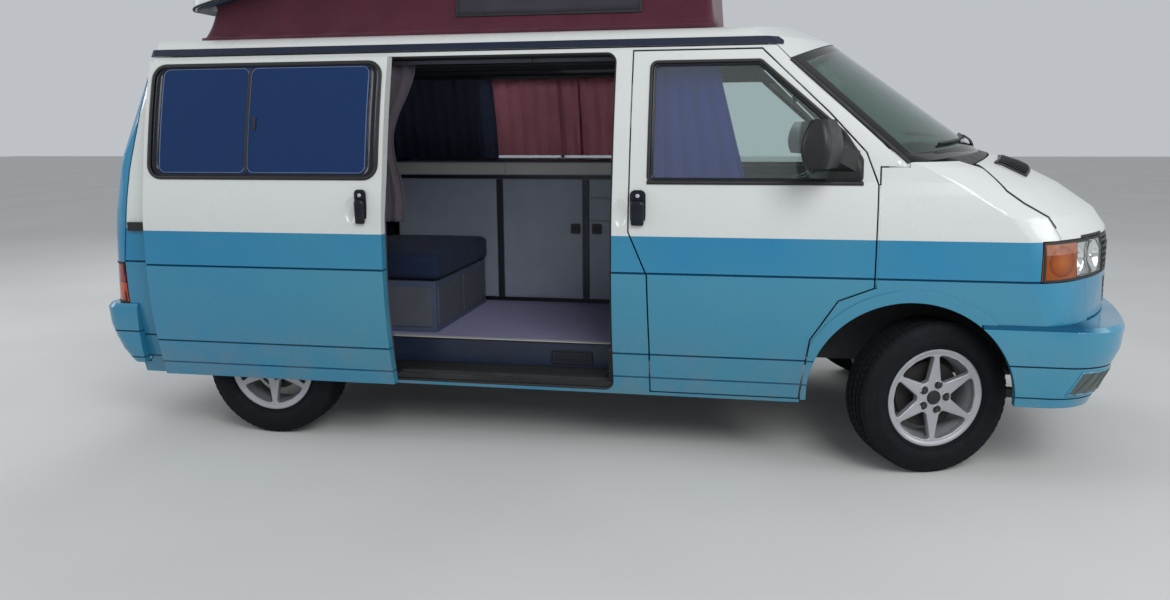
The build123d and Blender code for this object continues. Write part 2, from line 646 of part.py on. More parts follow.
def tyre_solid():
    """Tyre about the Y axis, with rounded shoulders and bulging side walls."""
    half = TYRE_W / 2
    shoulder = TYRE_R - 28
    profile = [
        Line((RIM_SEAT_R, -71), (RIM_SEAT_R, 71)),
        Line((RIM_SEAT_R, 71), (RIM_FLANGE_R + 1, 71)),
        Line((RIM_FLANGE_R + 1, 71), (RIM_FLANGE_R + 4, 82)),
        ThreePointArc((RIM_FLANGE_R + 4, 82), (255, half), (shoulder, 92)),
        ThreePointArc((shoulder, 92), (TYRE_R - 7, 84), (TYRE_R - 2, 68)),
        ThreePointArc((TYRE_R - 2, 68), (TYRE_R, 0), (TYRE_R - 2, -68)),
        ThreePointArc((TYRE_R - 2, -68), (TYRE_R - 7, -84), (shoulder, -92)),
        ThreePointArc((shoulder, -92), (255, -half), (RIM_FLANGE_R + 4, -82)),
        Line((RIM_FLANGE_R + 4, -82), (RIM_FLANGE_R + 1, -71)),
        Line((RIM_FLANGE_R + 1, -71), (RIM_SEAT_R, -71)),
    ]
    return revolve(make_face(Wire(profile)), Axis.Y)


def rim_solid():
    """Six-spoke alloy rim about the Y axis, its face towards +Y."""
    barrel = [
        (RIM_SEAT_R - 0.3, -71.3),
        (RIM_SEAT_R - 0.3, 71.3),
        (RIM_FLANGE_R, 71.5),
        (RIM_FLANGE_R, 79),
        (RIM_FLANGE_R - 8, 79),
        (RIM_SEAT_R - 9, 66),
        (168, 40),
        (168, -40),
        (RIM_SEAT_R - 9, -66),
        (RIM_FLANGE_R - 8, -79),
        (RIM_FLANGE_R, -79),
        (RIM_FLANGE_R, -71.5),
    ]
    rim = revolve(make_face(Polyline(*barrel, close=True)), Axis.Y)
    dish = [(22, MOUNT_FACE), (78, MOUNT_FACE), (78, 66), (60, 70), (34, 70), (30, 66), (22, 66)]
    rim += revolve(make_face(Polyline(*dish, close=True)), Axis.Y)
    for index in range(SPOKES):
        inner = Plane(origin=(0, 57, 62), x_dir=(1, 0, 0), z_dir=(0, 0, 1)) * Rectangle(62, 24)
        outer = Plane(origin=(0, 61, 184), x_dir=(1, 0, 0), z_dir=(0, 0, 1)) * Rectangle(36, 22)
        rim += Rot(0, index * 360 / SPOKES, 0) * loft([inner, outer])
    for index in range(BOLTS):
        angle = radians(90 + index * 360 / BOLTS)
        spot = (BOLT_CIRCLE_R * cos(angle), 0, BOLT_CIRCLE_R * sin(angle))
        rim -= Pos(*spot) * Rot(90, 0, 0) * Cylinder(8, 200)
    return rim


TYRE = tyre_solid()
RIM = rim_solid()


def wheel_place(x, y, steer):
    """Location of a wheel centre whose outer face looks to the side that y is on."""
    place = Pos(x, y, TYRE_R)
    if steer is not None:
        pin_y = y - KINGPIN_OFFSET * (1 if y > 0 else -1)
        place = Pos(x, pin_y, 0) * Rot(0, 0, steer) * Pos(0, y - pin_y, TYRE_R)
    return place if y > 0 else place * Rot(0, 0, 180)


front_y = FRONT_TRACK / 2
rear_y = REAR_TRACK / 2
for name, x, y, steer in (
    ("front_right", FRONT_AXLE_X, -front_y, REST_STEER),
    ("front_left", FRONT_AXLE_X, front_y, REST_STEER),
    ("rear_right", REAR_AXLE_X, -rear_y, None),
    ("rear_left", REAR_AXLE_X, rear_y, None),
):
    place = wheel_place(x, y, steer)
    save(f"tyre_{name}", place * TYRE)
    save(f"rim_{name}", place * RIM)

disc = Rot(90, 0, 0) * Cylinder(140, 22)
hub_front = Pos(0, 27.5, 0) * Rot(90, 0, 0) * Cylinder(68, 34)
upright = block(-45, 45, -KINGPIN_OFFSET - 25, -9, -85, 85)
kingpin = Pos(0, -KINGPIN_OFFSET, 0) * Cylinder(KINGPIN_R, 2 * KINGPIN_REACH)
knuckle = disc + hub_front + upright + kingpin
save("knuckle_right", wheel_place(FRONT_AXLE_X, -front_y, REST_STEER) * knuckle)
save("knuckle_left", wheel_place(FRONT_AXLE_X, front_y, REST_STEER) * knuckle)

pin_y = front_y - KINGPIN_OFFSET
wishbone_low = block(FRONT_AXLE_X - 55, FRONT_AXLE_X + 55, 300, pin_y + 20, 205, 228)
wishbone_high = block(FRONT_AXLE_X - 40, FRONT_AXLE_X + 40, 330, pin_y + 20, 419, 438)
subframe = block(FRONT_AXLE_X - 160, FRONT_AXLE_X + 160, -340, 340, 190, 245)
tower = block(FRONT_AXLE_X - 60, FRONT_AXLE_X + 60, 330, 360, 245, 470)
front_axle = subframe + wishbone_low + mirrored(wishbone_low)
front_axle += tower + mirrored(tower) + wishbone_high + mirrored(wishbone_high)
front_axle += block(FRONT_AXLE_X + 150, 2040, -376, -336, 205, 245) + tow_eye(2110, 235, -368, 110)
save("front_suspension", front_axle)

cross_tube = rod((REAR_AXLE_X + 420, -480, 330), (REAR_AXLE_X + 420, 480, 330), 38)
rear_axle = cross_tube
for way in (-1, 1):
    arm = side_prism(
        [
            (REAR_AXLE_X + 450, 300),
            (REAR_AXLE_X + 450, 370),
            (REAR_AXLE_X - 60, 375),
            (REAR_AXLE_X - 60, 270),
            (REAR_AXLE_X + 60, 260),
        ],
        480,
        560,
    )
    stub = Pos(REAR_AXLE_X, 0, TYRE_R) * Rot(90, 0, 0) * Cylinder(120, 50)
    stub = Pos(0, rear_y - 10, 0) * stub
    axle_pin = rod((REAR_AXLE_X, 550, TYRE_R), (REAR_AXLE_X, rear_y + MOUNT_FACE - 0.5, TYRE_R), 40)
    group = arm + stub + axle_pin
    rear_axle += group if way > 0 else mirrored(group)
save("rear_suspension", rear_axle)


save("engine", block(1480, 2040, -330, 330, 300, 960))
save("fuel_tank", fillet(block(-620, 250, -300, 450, 240, 395).edges(), 30))
muffler = Pos(-1920, -300, 300) * Rot(90, 0, 0) * Cylinder(80, 340)
pipe = rod((1000, -380, 345), (-800, -380, 345), 24) + rod((-800, -380, 345), (-980, -380, 235), 24)
pipe += rod((-980, -380, 235), (-1920, -380, 262), 24)
tail_pipe = rod((-1920, -420, 262), (-2290, -420, 262), 22)
save("exhaust", pipe + muffler + tail_pipe)
spare_hub = Pos(0, 60, 0) * Rot(90, 0, 0) * Cylinder(RIM_SEAT_R + 2, 12)
save("spare_wheel", Pos(-1856, 225, 295) * Rot(90, 0, 0) * (TYRE + spare_hub))

# Pop-top: lid shell, hinge arms and the canvas walls, raised at the front
# LID_CORNERS are the corner radii at the rear and at the front

LID_REAR = (-1863, 1974)
LID_ANGLE = 14.6
LID_LENGTH = 2560
LID_HALF_W = 722
LID_DEPTH = 92
LID_RIM = 26
LID_CORNERS = (70, 150)


def lid_frame():
    """Location at the lid's rear lower edge, with local X up along the raised lid."""
    return Pos(LID_REAR[0], 0, LID_REAR[1]) * Rot(0, -LID_ANGLE, 0)


lid_plan = Rectangle(LID_LENGTH, 2 * LID_HALF_W, align=(Align.MIN, Align.CENTER))
for end, radius in zip((0, -1), LID_CORNERS):
    lid_plan = fillet(lid_plan.vertices().group_by(Axis.X)[end], radius)
lid_outer = extrude(lid_plan, amount=LID_DEPTH, taper=14)
lid_inner = extrude(Pos(0, 0, -1) * offset(lid_plan, amount=-LID_RIM), amount=LID_DEPTH - 17, taper=14)
hinge_x, hinge_z = LID_HINGE
arm_end_x, arm_end_z = LID_REAR[0] + 34, LID_REAR[1] + 29
lid_arm = side_prism(
    [(hinge_x - 6, hinge_z + 14), (hinge_x + 6, hinge_z - 14), (arm_end_x + 6, arm_end_z - 12), (arm_end_x - 6, arm_end_z + 12)],
    *LID_ARM_Y,
)
arm_eye = Pos(hinge_x, sum(LID_ARM_Y) / 2, hinge_z) * Rot(90, 0, 0) * Cylinder(20, LID_ARM_Y[1] - LID_ARM_Y[0])
eye_hole = Pos(hinge_x, sum(LID_ARM_Y) / 2, hinge_z) * Rot(90, 0, 0) * Cylinder(LID_PIN_R + 0.08, 60)
lid_arm = (lid_arm + arm_eye) - eye_hole
save("roof_lid", lid_frame() * (lid_outer - lid_inner) + lid_arm + mirrored(lid_arm))


# Canvas: x of the foot's rear and front, its half width, how far the rear wall leans forward, and its thickness
CANVAS_X = (-1850, 555)
CANVAS_HALF_W = 634
CANVAS_FOOT_Z = 1846
CANVAS_LEAN = 75
CANVAS_THICK = 7


def canvas_block(inset, lift):
    """Wedge between the roof and the lid's underside, drawn in by inset, its foot lowered by lift."""
    slope = sin(radians(LID_ANGLE)) / cos(radians(LID_ANGLE))
    foot_x, front_x = CANVAS_X[0] + inset, CANVAS_X[1] - inset
    foot_z = CANVAS_FOOT_Z - lift
    points = [(foot_x, foot_z), (front_x, foot_z)]
    for top_x in (front_x, foot_x + CANVAS_LEAN):
        points.append((top_x, LID_REAR[1] + (top_x - LID_REAR[0]) * slope + 20))
    return side_prism(points, inset - CANVAS_HALF_W, CANVAS_HALF_W - inset)


canvas = canvas_block(0, 0) - canvas_block(CANVAS_THICK, 30) - OUTER
save("canvas", canvas - lid_frame() * block(-100, LID_LENGTH + 100, -FAR, FAR, 48, 300))
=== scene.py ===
import json
from math import ceil, cos, hypot, pi, radians, sin, sqrt, tan

import bmesh
import bpy
from mathutils import Matrix, Vector, noise
from mathutils.bvhtree import BVHTree


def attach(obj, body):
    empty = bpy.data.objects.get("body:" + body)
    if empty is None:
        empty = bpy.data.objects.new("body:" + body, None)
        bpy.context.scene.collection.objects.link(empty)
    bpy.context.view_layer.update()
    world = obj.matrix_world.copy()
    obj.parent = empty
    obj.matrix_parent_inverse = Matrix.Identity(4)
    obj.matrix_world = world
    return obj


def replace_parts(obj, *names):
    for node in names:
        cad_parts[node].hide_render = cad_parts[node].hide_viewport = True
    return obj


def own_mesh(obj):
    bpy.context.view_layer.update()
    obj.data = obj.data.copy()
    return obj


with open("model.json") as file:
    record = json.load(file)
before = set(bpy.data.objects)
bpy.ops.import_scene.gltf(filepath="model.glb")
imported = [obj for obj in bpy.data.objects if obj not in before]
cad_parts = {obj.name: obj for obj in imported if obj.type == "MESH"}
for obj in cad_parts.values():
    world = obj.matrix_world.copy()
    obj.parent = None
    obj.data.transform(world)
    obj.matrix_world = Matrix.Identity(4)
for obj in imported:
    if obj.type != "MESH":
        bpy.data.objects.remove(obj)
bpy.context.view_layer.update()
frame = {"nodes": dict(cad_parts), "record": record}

# Looks of a camper van with a raised pop-top. Metres, +X forward, +Y to the van's left, +Z up.

NODES = frame["nodes"]
SIDES = (("right", -1), ("left", 1))

# Height of the belt line, how far out the open sliding door stands, how far in the curtain rails hang,
# and the radius that closes a turned profile on its axis
BELT_Z = 0.982
DOOR_OUT = 0.095
RAIL_INSET = 0.082
AXIS = 0.0001

# The camera that took the photograph
CAMERA_PLACE = (0.7809, -4.7342, 1.4363)
CAMERA_YAW = radians(-10.97)
CAMERA_PITCH = radians(-10.67)
CAMERA_ROLL = radians(-0.33)
CAMERA_LENS = 28.34

# Colours
WHITE = (0.63, 0.65, 0.64)
BLUE = (0.008, 0.200, 0.385)
# Greener blue, for random blotches and for a painted reflection of the ground below the upper crease
BLOTCH_AND_REFLECTION_BLUE = (0.040, 0.235, 0.340)
# Painted shade for the creases of the body paint
CREASE_SHADE_BLUE = (0.004, 0.055, 0.130)
DUST = (0.22, 0.20, 0.16)
BLACK = (0.012, 0.012, 0.013)
LINING = (0.066, 0.073, 0.095)
SCREEN_GREEN = (0.27, 0.40, 0.37)

# Bands of the paint's creases, where shade is painted in, as bottom, top, and the x behind which they show
BEYOND_NOSE = 9.0
SIDE_CREASES = [(low, high, BEYOND_NOSE) for low, high in ((0.821, 0.829), (0.462, 0.469), (0.353, 0.360))]
# The last band darkens the bumper's top edge as painted shadow of the gap under the fender
BUMPER_CREASES = ((0.484, 0.490, BEYOND_NOSE), (0.353, 0.358, BEYOND_NOSE), (0.634, 0.653, 2.12))

# Corners of the windscreen's right half as (x, z): roof middle, pillar top, pillar foot, cowl middle
SCREEN_CORNERS = [Vector(p) for p in ((1.120, 1.816), (0.876, 1.706), (1.345, 1.288), (1.810, 1.328))]


# Body skin, worked out from the flank's section

def circle_through(a, b, c):
    """Centre and radius of the circle through three points."""
    (ax, ay), (bx, by), (cx, cy) = a, b, c
    d = 2 * (ax * (by - cy) + bx * (cy - ay) + cx * (ay - by))
    sa, sb, sc = ax * ax + ay * ay, bx * bx + by * by, cx * cx + cy * cy
    ux = (sa * (by - cy) + sb * (cy - ay) + sc * (ay - by)) / d
    uy = (sa * (cx - bx) + sb * (ax - cx) + sc * (bx - ax)) / d
    return ux, uy, hypot(ax - ux, ay - uy)


FLANK_ARCS = [
    (0.830, circle_through((0.835, 0.270), (0.894, 0.520), (0.920, 0.830))),
    (0.982, None),
    (1.210, circle_through((0.915, 0.982), (0.904, 1.105), (0.884, 1.210))),
    (1.800, circle_through((0.884, 1.210), (0.826, 1.500), (0.752, 1.765))),
]


def flank(z):
    """Half width of the body at a height, and the skin's outward normal there as (y, z)."""
    arc = next((arc for top, arc in FLANK_ARCS if z <= top), FLANK_ARCS[-1][1])
    if arc is None:
        return 0.920 - (z - 0.830) * 0.005 / 0.152, (0.9995, 0.0329)
    y0, z0, r = arc
    out = sqrt(r * r - (z - z0) ** 2)
    return y0 + out, (out / r, (z - z0) / r)


def skin(x, z, way, proud=0.0, out=0.0):
    """Point on the flank, and the normal there. Out is how far a moved door stands off the body."""
    y, (ny, nz) = flank(z)
    return Vector((x, way * (y + out + ny * proud), z + nz * proud)), Vector((0, way * ny, nz))


def on_skin(outline, way, proud=0.0, out=0.0):
    """Points on the flank, each with its normal, for an outline of (x, z)."""
    return [skin(p[0], p[1], way, proud, out) for p in outline]


# Shader helpers

class Shader:
    """A material on one Principled shader, with nodes added by short calls."""

    def __init__(self, name, colour=(0.5, 0.5, 0.5), **sockets):
        self.material = bpy.data.materials.new(name)
        self.material.use_nodes = True
        self.tree = self.material.node_tree
        self.bsdf = self.tree.nodes["Principled BSDF"]
        self.set(self.bsdf, Base_Color=(*colour, 1), **sockets)

    def set(self, node, **sockets):
        for name, value in sockets.items():
            socket = node.inputs[int(name[2:])] if name[2:].isdigit() else node.inputs[name.replace("_", " ")]
            if isinstance(value, bpy.types.NodeSocket):
                self.tree.links.new(value, socket)
            else:
                socket.default_value = value

    def node(self, kind, options=None, **sockets):
        node = self.tree.nodes.new("ShaderNode" + kind)
        for name, value in (options or {}).items():
            setattr(node, name, value)
        self.set(node, **sockets)
        return node

    def place(self):
        """Position in the van's own frame, in metres."""
        return self.node("TexCoord").outputs["Object"]

    def split(self, vector):
        return self.node("SeparateXYZ", Vector=vector).outputs

    def math(self, operation, a, b=0.0):
        return self.node("Math", {"operation": operation}, in0=a, in1=b).outputs[0]

    def product(self, *factors):
        value = factors[0]
        for factor in factors[1:]:
            value = self.math("MULTIPLY", value, factor)
        return value

    def ramp(self, value, low, high, to_low=0.0, to_high=1.0):
        node = self.node("MapRange", Value=value, From_Min=low, From_Max=high, To_Min=to_low, To_Max=to_high)
        return node.outputs[0]

    def noise(self, scale, detail=3.0):
        return self.node("TexNoise", Vector=self.place(), Scale=scale, Detail=detail).outputs["Fac"]

    def mix(self, factor, a, b):
        node = self.node("Mix", {"data_type": "RGBA"}, in0=factor)
        a, b = (c if isinstance(c, bpy.types.NodeSocket) else (*c, 1) for c in (a, b))
        self.set(node, in6=a, in7=b)
        return node.outputs[2]

    def plane(self, normal, offset):
        """Distance of the shaded point from a plane, in metres."""
        dot = self.node("VectorMath", {"operation": "DOT_PRODUCT"}, in0=self.place(), in1=normal)
        return self.math("SUBTRACT", dot.outputs["Value"], offset)

    def rough(self, scale, detail, low, high, smoothest, roughest):
        """Uneven roughness: a noise's range from low to high gives smoothest to roughest."""
        self.set(self.bsdf, Roughness=self.ramp(self.noise(scale, detail), low, high, smoothest, roughest))

    def bump(self, height, strength, distance, rounded=0.0):
        node = self.node("Bump", Height=height, Strength=strength, Distance=distance)
        if rounded:
            self.set(node, Normal=self.node("Bevel", {"samples": 4}, Radius=rounded).outputs[0])
        self.set(self.bsdf, Normal=node.outputs[0])


def inside_mask(s, out=0.0):
    """1 on faces inside the body shell, 0 on the skin and in the jambs."""
    where = s.split(s.place())
    curve = s.node("ValToRGB", Fac=s.ramp(where[2], 0.25, 1.85))
    stops = curve.color_ramp.elements
    for index in range(13):
        stop = stops[index] if index < 2 else stops.new(0.5)
        stop.position = index / 12
        stop.color = (*(flank(0.25 + 1.6 * index / 12)[0],) * 3, 1)
    half = s.math("ADD", s.node("RGBToBW", Color=curve.outputs[0]).outputs[0], out - 0.040)
    crown = s.math("SUBTRACT", 1.852, s.product(0.063, where[1], where[1]))
    normal = s.split(s.node("TexCoord").outputs["Normal"])
    roof_skin = s.product(s.math("GREATER_THAN", where[2], 1.70), s.math("GREATER_THAN", normal[2], 0.2))
    tail_skin = s.product(s.math("LESS_THAN", where[0], -1.95), s.math("LESS_THAN", normal[0], -0.3))
    return s.product(
        s.math("LESS_THAN", s.math("ABSOLUTE", where[1]), half),
        s.math("SUBTRACT", 1.0, s.math("MAXIMUM", roof_skin, tail_skin)),
        s.math("LESS_THAN", where[2], crown),
        s.math("GREATER_THAN", s.plane((1, 0, 0.16), -2.06), 0.03),
        s.math("LESS_THAN", where[0], 1.22),
    )


def paint(name, split=True, lined=False, out=0.0, creases=SIDE_CREASES):
    """Gloss body paint, white above the belt line and blue below, with painted shade in its creases, a
    painted reflection of the ground in the blue below the upper crease, and dust low down.
    """
    s = Shader(name, BLUE, Coat_Roughness=0.07)
    where = s.split(s.place())
    height = where[2]
    blotches = s.ramp(s.noise(1.6, 4.0), 0.35, 0.75, 0.0, 0.6)
    # Random blotches of the greener blue, and below the upper crease a fixed share of it as painted
    # reflection of the ground
    blotches_and_reflection = s.math("ADD", blotches, s.ramp(height, 0.822, 0.820, 0.0, 0.4))
    colour = s.mix(blotches_and_reflection, BLUE, BLOTCH_AND_REFLECTION_BLUE)
    if split:
        colour = s.mix(s.ramp(height, BELT_Z - 0.0006, BELT_Z + 0.0006), colour, WHITE)
    crease_shade = 0.0
    # Painted shade: each crease band is darkened towards the crease colour and loses its gloss
    for bottom, top, front in creases:
        line = s.product(s.ramp(height, bottom - 0.001, bottom), s.ramp(height, top + 0.001, top))
        crease_shade = s.math("MAXIMUM", crease_shade, s.product(line, s.ramp(where[0], front, front - 0.1)))
    colour = s.mix(s.product(crease_shade, 0.85), colour, CREASE_SHADE_BLUE)
    low = s.product(s.ramp(height, 0.62, 0.28), s.ramp(s.noise(7.0, 6.0), 0.4, 0.75, 0.0, 0.4))
    colour = s.mix(low, colour, DUST)
    rough = s.math("MAXIMUM", s.ramp(s.noise(5.0, 5.0), 0.3, 0.7, 0.22, 0.36), s.product(crease_shade, 0.8))
    coat = s.ramp(crease_shade, 0.0, 1.0, 0.6, 0.0)
    if lined:
        mask = inside_mask(s, out)
        colour = s.mix(mask, colour, LINING)
        rough = s.math("MAXIMUM", rough, s.product(mask, 0.8))
    shine = s.ramp(crease_shade, 0.0, 1.0, 0.5, 0.1)
    s.set(s.bsdf, Base_Color=colour, Roughness=rough, Coat_Weight=coat, Specular_IOR_Level=shine)
    s.bump(s.noise(420.0, 1.0), 0.012, 0.0006, 0.003)
    return s.material


def plain(name, colour, rough, grain=0.0, scale=300.0, spread=0.25, rounded=0.0015, **sockets):
    """Even material with a soft change of tone and a fine grain."""
    s = Shader(name, colour, **sockets)
    darker = tuple(c * (1 - spread) for c in colour)
    s.set(s.bsdf, Base_Color=s.mix(s.ramp(s.noise(9.0, 5.0), 0.3, 0.7), darker, colour))
    s.rough(25.0, 4.0, 0.3, 0.7, max(rough - 0.06, 0.02), min(rough + 0.08, 1.0))
    s.bump(s.noise(scale, 3.0), grain, 0.001, rounded)
    return s.material


def cloth(name, colour, second, weave=900.0, sheen=0.3, through=0.0):
    """Woven fabric: two crossing sets of threads, soft blotches, a little sheen, and light let through."""
    s = Shader(name, colour, Sheen_Weight=sheen, Sheen_Roughness=0.5, Transmission_Weight=through, IOR=1.3)
    where = s.split(s.place())
    warp = s.math("SINE", s.product(s.math("ADD", where[0], where[1]), weave))
    threads = s.product(warp, s.math("SINE", s.product(where[2], weave)))
    tone = s.mix(s.ramp(s.noise(6.0, 5.0), 0.3, 0.7), colour, second)
    darker = tuple(c * 0.72 for c in colour)
    s.set(s.bsdf, Base_Color=s.mix(s.ramp(threads, 0.2, -0.6, 0.0, 0.45), tone, darker))
    s.rough(40.0, 3.0, 0.3, 0.7, 0.78, 0.95)
    s.bump(threads, 0.35, 0.0006)
    return s.material


def glass(name, colour, clear, rough=0.02, ior=1.5):
    """Pane that shows what is behind it, tinted in its own colour."""
    s = Shader(name, colour, IOR=ior, Transmission_Weight=clear)
    s.rough(3.0, 4.0, 0.4, 0.8, rough * 0.5, rough * 2)
    return s.material


def privacy_glass():
    """Dark blue panes; the middle one on the left is clear and lets the curtains glow."""
    s = Shader("glass_tinted", IOR=1.5, Specular_IOR_Level=0.2)
    where = s.split(s.place())
    light = s.product(s.ramp(where[0], -1.06, -1.05), s.ramp(where[1], 0.0, 0.1))
    s.set(s.bsdf, Base_Color=s.mix(light, (0.005, 0.042, 0.170), (0.75, 0.85, 0.88)))
    s.set(s.bsdf, Transmission_Weight=s.ramp(light, 0.0, 1.0, 0.40, 0.96))
    s.rough(3.0, 4.0, 0.4, 0.8, 0.01, 0.04)
    return s.material


def screen_glass():
    """Windscreen with a black band fired on along its edges."""
    s = Shader("screen_glass", SCREEN_GREEN, IOR=1.5, Specular_IOR_Level=0.3)
    near = 1.0
    for a, b in zip(SCREEN_CORNERS, SCREEN_CORNERS[1:]):
        run = (b - a).normalized()
        across = Vector((-run.y, run.x))
        if across.dot(Vector((1.3, 1.6)) - a) < 0:
            across = -across
        near = s.math("MINIMUM", near, s.plane((across.x, 0, across.y), across.dot(a)))
    clear = s.ramp(near, 0.034, 0.036)
    s.set(s.bsdf, Base_Color=s.mix(clear, BLACK, SCREEN_GREEN), Transmission_Weight=s.product(clear, 0.97))
    s.rough(3.0, 4.0, 0.4, 0.8, 0.02, 0.07)
    return s.material


def amber_lens():
    """Amber indicator lens with fine ribs behind its face, and a round bowl painted darker towards its edge,
    with a dark ring round it, as painted shade.
    """
    s = Shader("lens_amber", (0.55, 0.13, 0.005), Coat_Weight=0.2, IOR=1.5, Transmission_Weight=0.25)
    where = s.split(s.place())
    dx = s.math("SUBTRACT", where[0], 1.945)
    dz = s.math("SUBTRACT", where[2], 0.902)
    far = s.math("SQRT", s.math("ADD", s.product(dx, dx), s.product(dz, dz)))
    # Painted shade: the bowl darkens towards its edge and a dark ring lies round it
    bowl = s.mix(s.ramp(far, 0.0, 0.056), (0.50, 0.130, 0.006), (0.30, 0.050, 0.003))
    ring = s.product(s.ramp(far, 0.050, 0.054), s.ramp(far, 0.062, 0.057), 0.6)
    rim = s.mix(ring, bowl, (0.18, 0.028, 0.002))
    s.set(s.bsdf, Base_Color=s.mix(s.ramp(far, 0.058, 0.062), rim, (0.36, 0.080, 0.004)))
    s.rough(20.0, 3.0, 0.3, 0.7, 0.06, 0.14)
    s.bump(s.math("SINE", s.product(s.math("ADD", where[0], where[1]), 900.0)), 0.25, 0.001, 0.0015)
    return s.material


def red_lens():
    """Tail lamp: red upper half, amber-red lower half, a dark line between them and fine prisms."""
    s = Shader("lens_red", (0.45, 0.008, 0.02), Coat_Weight=0.4)
    z = s.split(s.place())[2]
    two = s.mix(s.ramp(z, 0.724, 0.726), (0.42, 0.050, 0.012), (0.24, 0.004, 0.010))
    line = s.product(s.ramp(z, 0.720, 0.721), s.ramp(z, 0.730, 0.729))
    s.set(s.bsdf, Base_Color=s.mix(line, two, (0.05, 0.004, 0.004)))
    s.rough(20.0, 3.0, 0.3, 0.7, 0.08, 0.16)
    s.bump(s.math("SINE", s.product(z, 1250.0)), 0.3, 0.001, 0.0015)
    return s.material


def floor_cover():
    """Floor pan: a purple-grey vinyl cover on top, dark sealed steel below it."""
    s = Shader("floor_cover", (0.12, 0.105, 0.17))
    speckle = s.mix(s.ramp(s.noise(260.0, 2.0), 0.4, 0.6), (0.19, 0.185, 0.31), (0.28, 0.27, 0.42))
    under = s.mix(s.ramp(s.noise(6.0, 5.0), 0.3, 0.7), (0.018, 0.018, 0.02), (0.035, 0.036, 0.045))
    top = s.ramp(s.split(s.place())[2], 0.4455, 0.4465)
    s.set(s.bsdf, Base_Color=s.mix(top, under, speckle))
    s.rough(30.0, 4.0, 0.3, 0.7, 0.55, 0.75)
    s.bump(s.noise(220.0, 3.0), 0.2, 0.001, 0.002)
    return s.material


MATERIALS = {
    "paint_white": paint("paint_two_tone"),
    "paint_blue": paint("paint_blue", False, creases=BUMPER_CREASES),
    "glass": glass("glass_clear", (0.80, 0.90, 0.88), 0.97),
    "lamp_clear": glass("lamp_clear", (0.93, 0.95, 0.93), 0.95, 0.03, 1.12),
    "lamp_amber": amber_lens(),
    "lamp_red": red_lens(),
    "black_plastic": plain("black_plastic", BLACK, 0.40, 0.25, 900.0),
    # Gutter: navy darkened almost to black, its own dark colour with the gutter's shade painted in
    "gutter_navy": plain("gutter_navy", (0.005, 0.012, 0.036), 0.5, 0.1, Specular_IOR_Level=0.35),
    "grey_laminate": plain("grey_laminate", (0.245, 0.275, 0.345), 0.34, 0.06, 700.0, 0.1),
    "seat_fabric": cloth("seat_fabric", (0.009, 0.017, 0.044), (0.015, 0.025, 0.060), sheen=0.04),
    "canvas": cloth("canvas", (0.085, 0.014, 0.030), (0.060, 0.010, 0.024), 1100.0),
    "curtain": cloth("curtain_maroon", (0.50, 0.190, 0.225), (0.40, 0.145, 0.175), 1400.0, through=0.75),
    "lid_shell": plain("lid_shell", (0.60, 0.62, 0.63), 0.32, 0.015, 300.0, 0.08, 0.006),
    "tyre": plain("tyre", (0.005, 0.007, 0.010), 0.75, 0.3, 260.0, Specular_IOR_Level=0.2),
    "alloy": plain("alloy", (0.55, 0.56, 0.58), 0.30, 0.05, 500.0, 0.12, 0.002, Metallic=0.9),
    "steel": plain("steel", (0.025, 0.025, 0.028), 0.55, 0.3, 120.0),
    "cast": plain("cast", (0.030, 0.029, 0.029), 0.6, 0.6, 160.0, 0.4, Metallic=0.3),
    "floor": floor_cover(),
}
RIM_SILVER = plain("rim_silver", (0.44, 0.45, 0.475), 0.36, 0.08, 900.0, 0.12, 0.0012, Metallic=0.55)
RUBBER = plain("rubber", (0.010, 0.010, 0.011), 0.55, 0.3, 500.0)
GLOSS_BLACK = plain("gloss_black", (0.008, 0.011, 0.018), 0.20, 0.05, Specular_IOR_Level=0.3)
DUCT = plain("duct_grey", (0.085, 0.105, 0.102), 0.30, 0.1, 500.0)
# Pale blue for a painted highlight along the edges of the sliding panes
PAINTED_HIGHLIGHT_LINE = plain("painted_highlight_line", (0.12, 0.17, 0.30), 0.3, 0.05)
CHROME = plain("chrome", (0.80, 0.81, 0.82), 0.08, 0.03, 300.0, 0.05, 0.001, Metallic=1.0)
MIRROR = plain("mirror_glass", (0.75, 0.78, 0.80), 0.02, 0.0, 300.0, 0.04, 0.0, Metallic=1.0)
LIGHT_TRIM = plain("light_trim", (0.46, 0.46, 0.44), 0.35, 0.05, 600.0, 0.1)
DARK_TRIM = plain("dark_trim", (0.010, 0.012, 0.022), 0.38, 0.1, 700.0)
GREY_MESH = cloth("grey_panel", (0.046, 0.042, 0.056), (0.034, 0.030, 0.042), 1500.0, 0.1)
BLUE_CLOTH = cloth("curtain_blue", (0.022, 0.044, 0.30), (0.045, 0.058, 0.33), 1400.0)
DUSK_CLOTH = cloth("curtain_dusk", (0.120, 0.155, 0.270), (0.155, 0.150, 0.250), 1400.0, through=0.4)
MAUVE_CLOTH = cloth("curtain_mauve", (0.075, 0.060, 0.078), (0.050, 0.042, 0.056), 1400.0)
NAVY_TRIM = plain("navy_trim", (0.015, 0.025, 0.055), 0.4, 0.15, 500.0)
PLATE = plain("blank_plate", (0.62, 0.62, 0.58), 0.35, 0.05, 500.0, 0.05)
PANEL = plain("inner_panel", (0.083, 0.090, 0.112), 0.6, 0.3, 500.0, 0.15)
BENCH_LAMINATE = plain("bench_laminate", (0.068, 0.090, 0.145), 0.4, 0.06, 700.0, 0.12)

OWN_MATERIALS = {
    ("side_windows", "sliding_door_window", "tailgate_window"): privacy_glass(),
    ("side_right", "side_left", "roof_panel", "door_right", "door_left"): paint("paint_lined", lined=True),
    ("sliding_door",): paint("paint_slide", lined=True, out=DOOR_OUT),
    ("tailgate",): paint("paint_tail", False, True, creases=()),
    ("windscreen",): screen_glass(),
    ("bench_base",): BENCH_LAMINATE,
}
for part in frame["record"]["subparts"]:
    own = [material for names, material in OWN_MATERIALS.items() if part["node"] in names]
    data = NODES[part["node"]].data
    data.materials.clear()
    data.materials.append(own[0] if own else MATERIALS[part["material_slot"]])


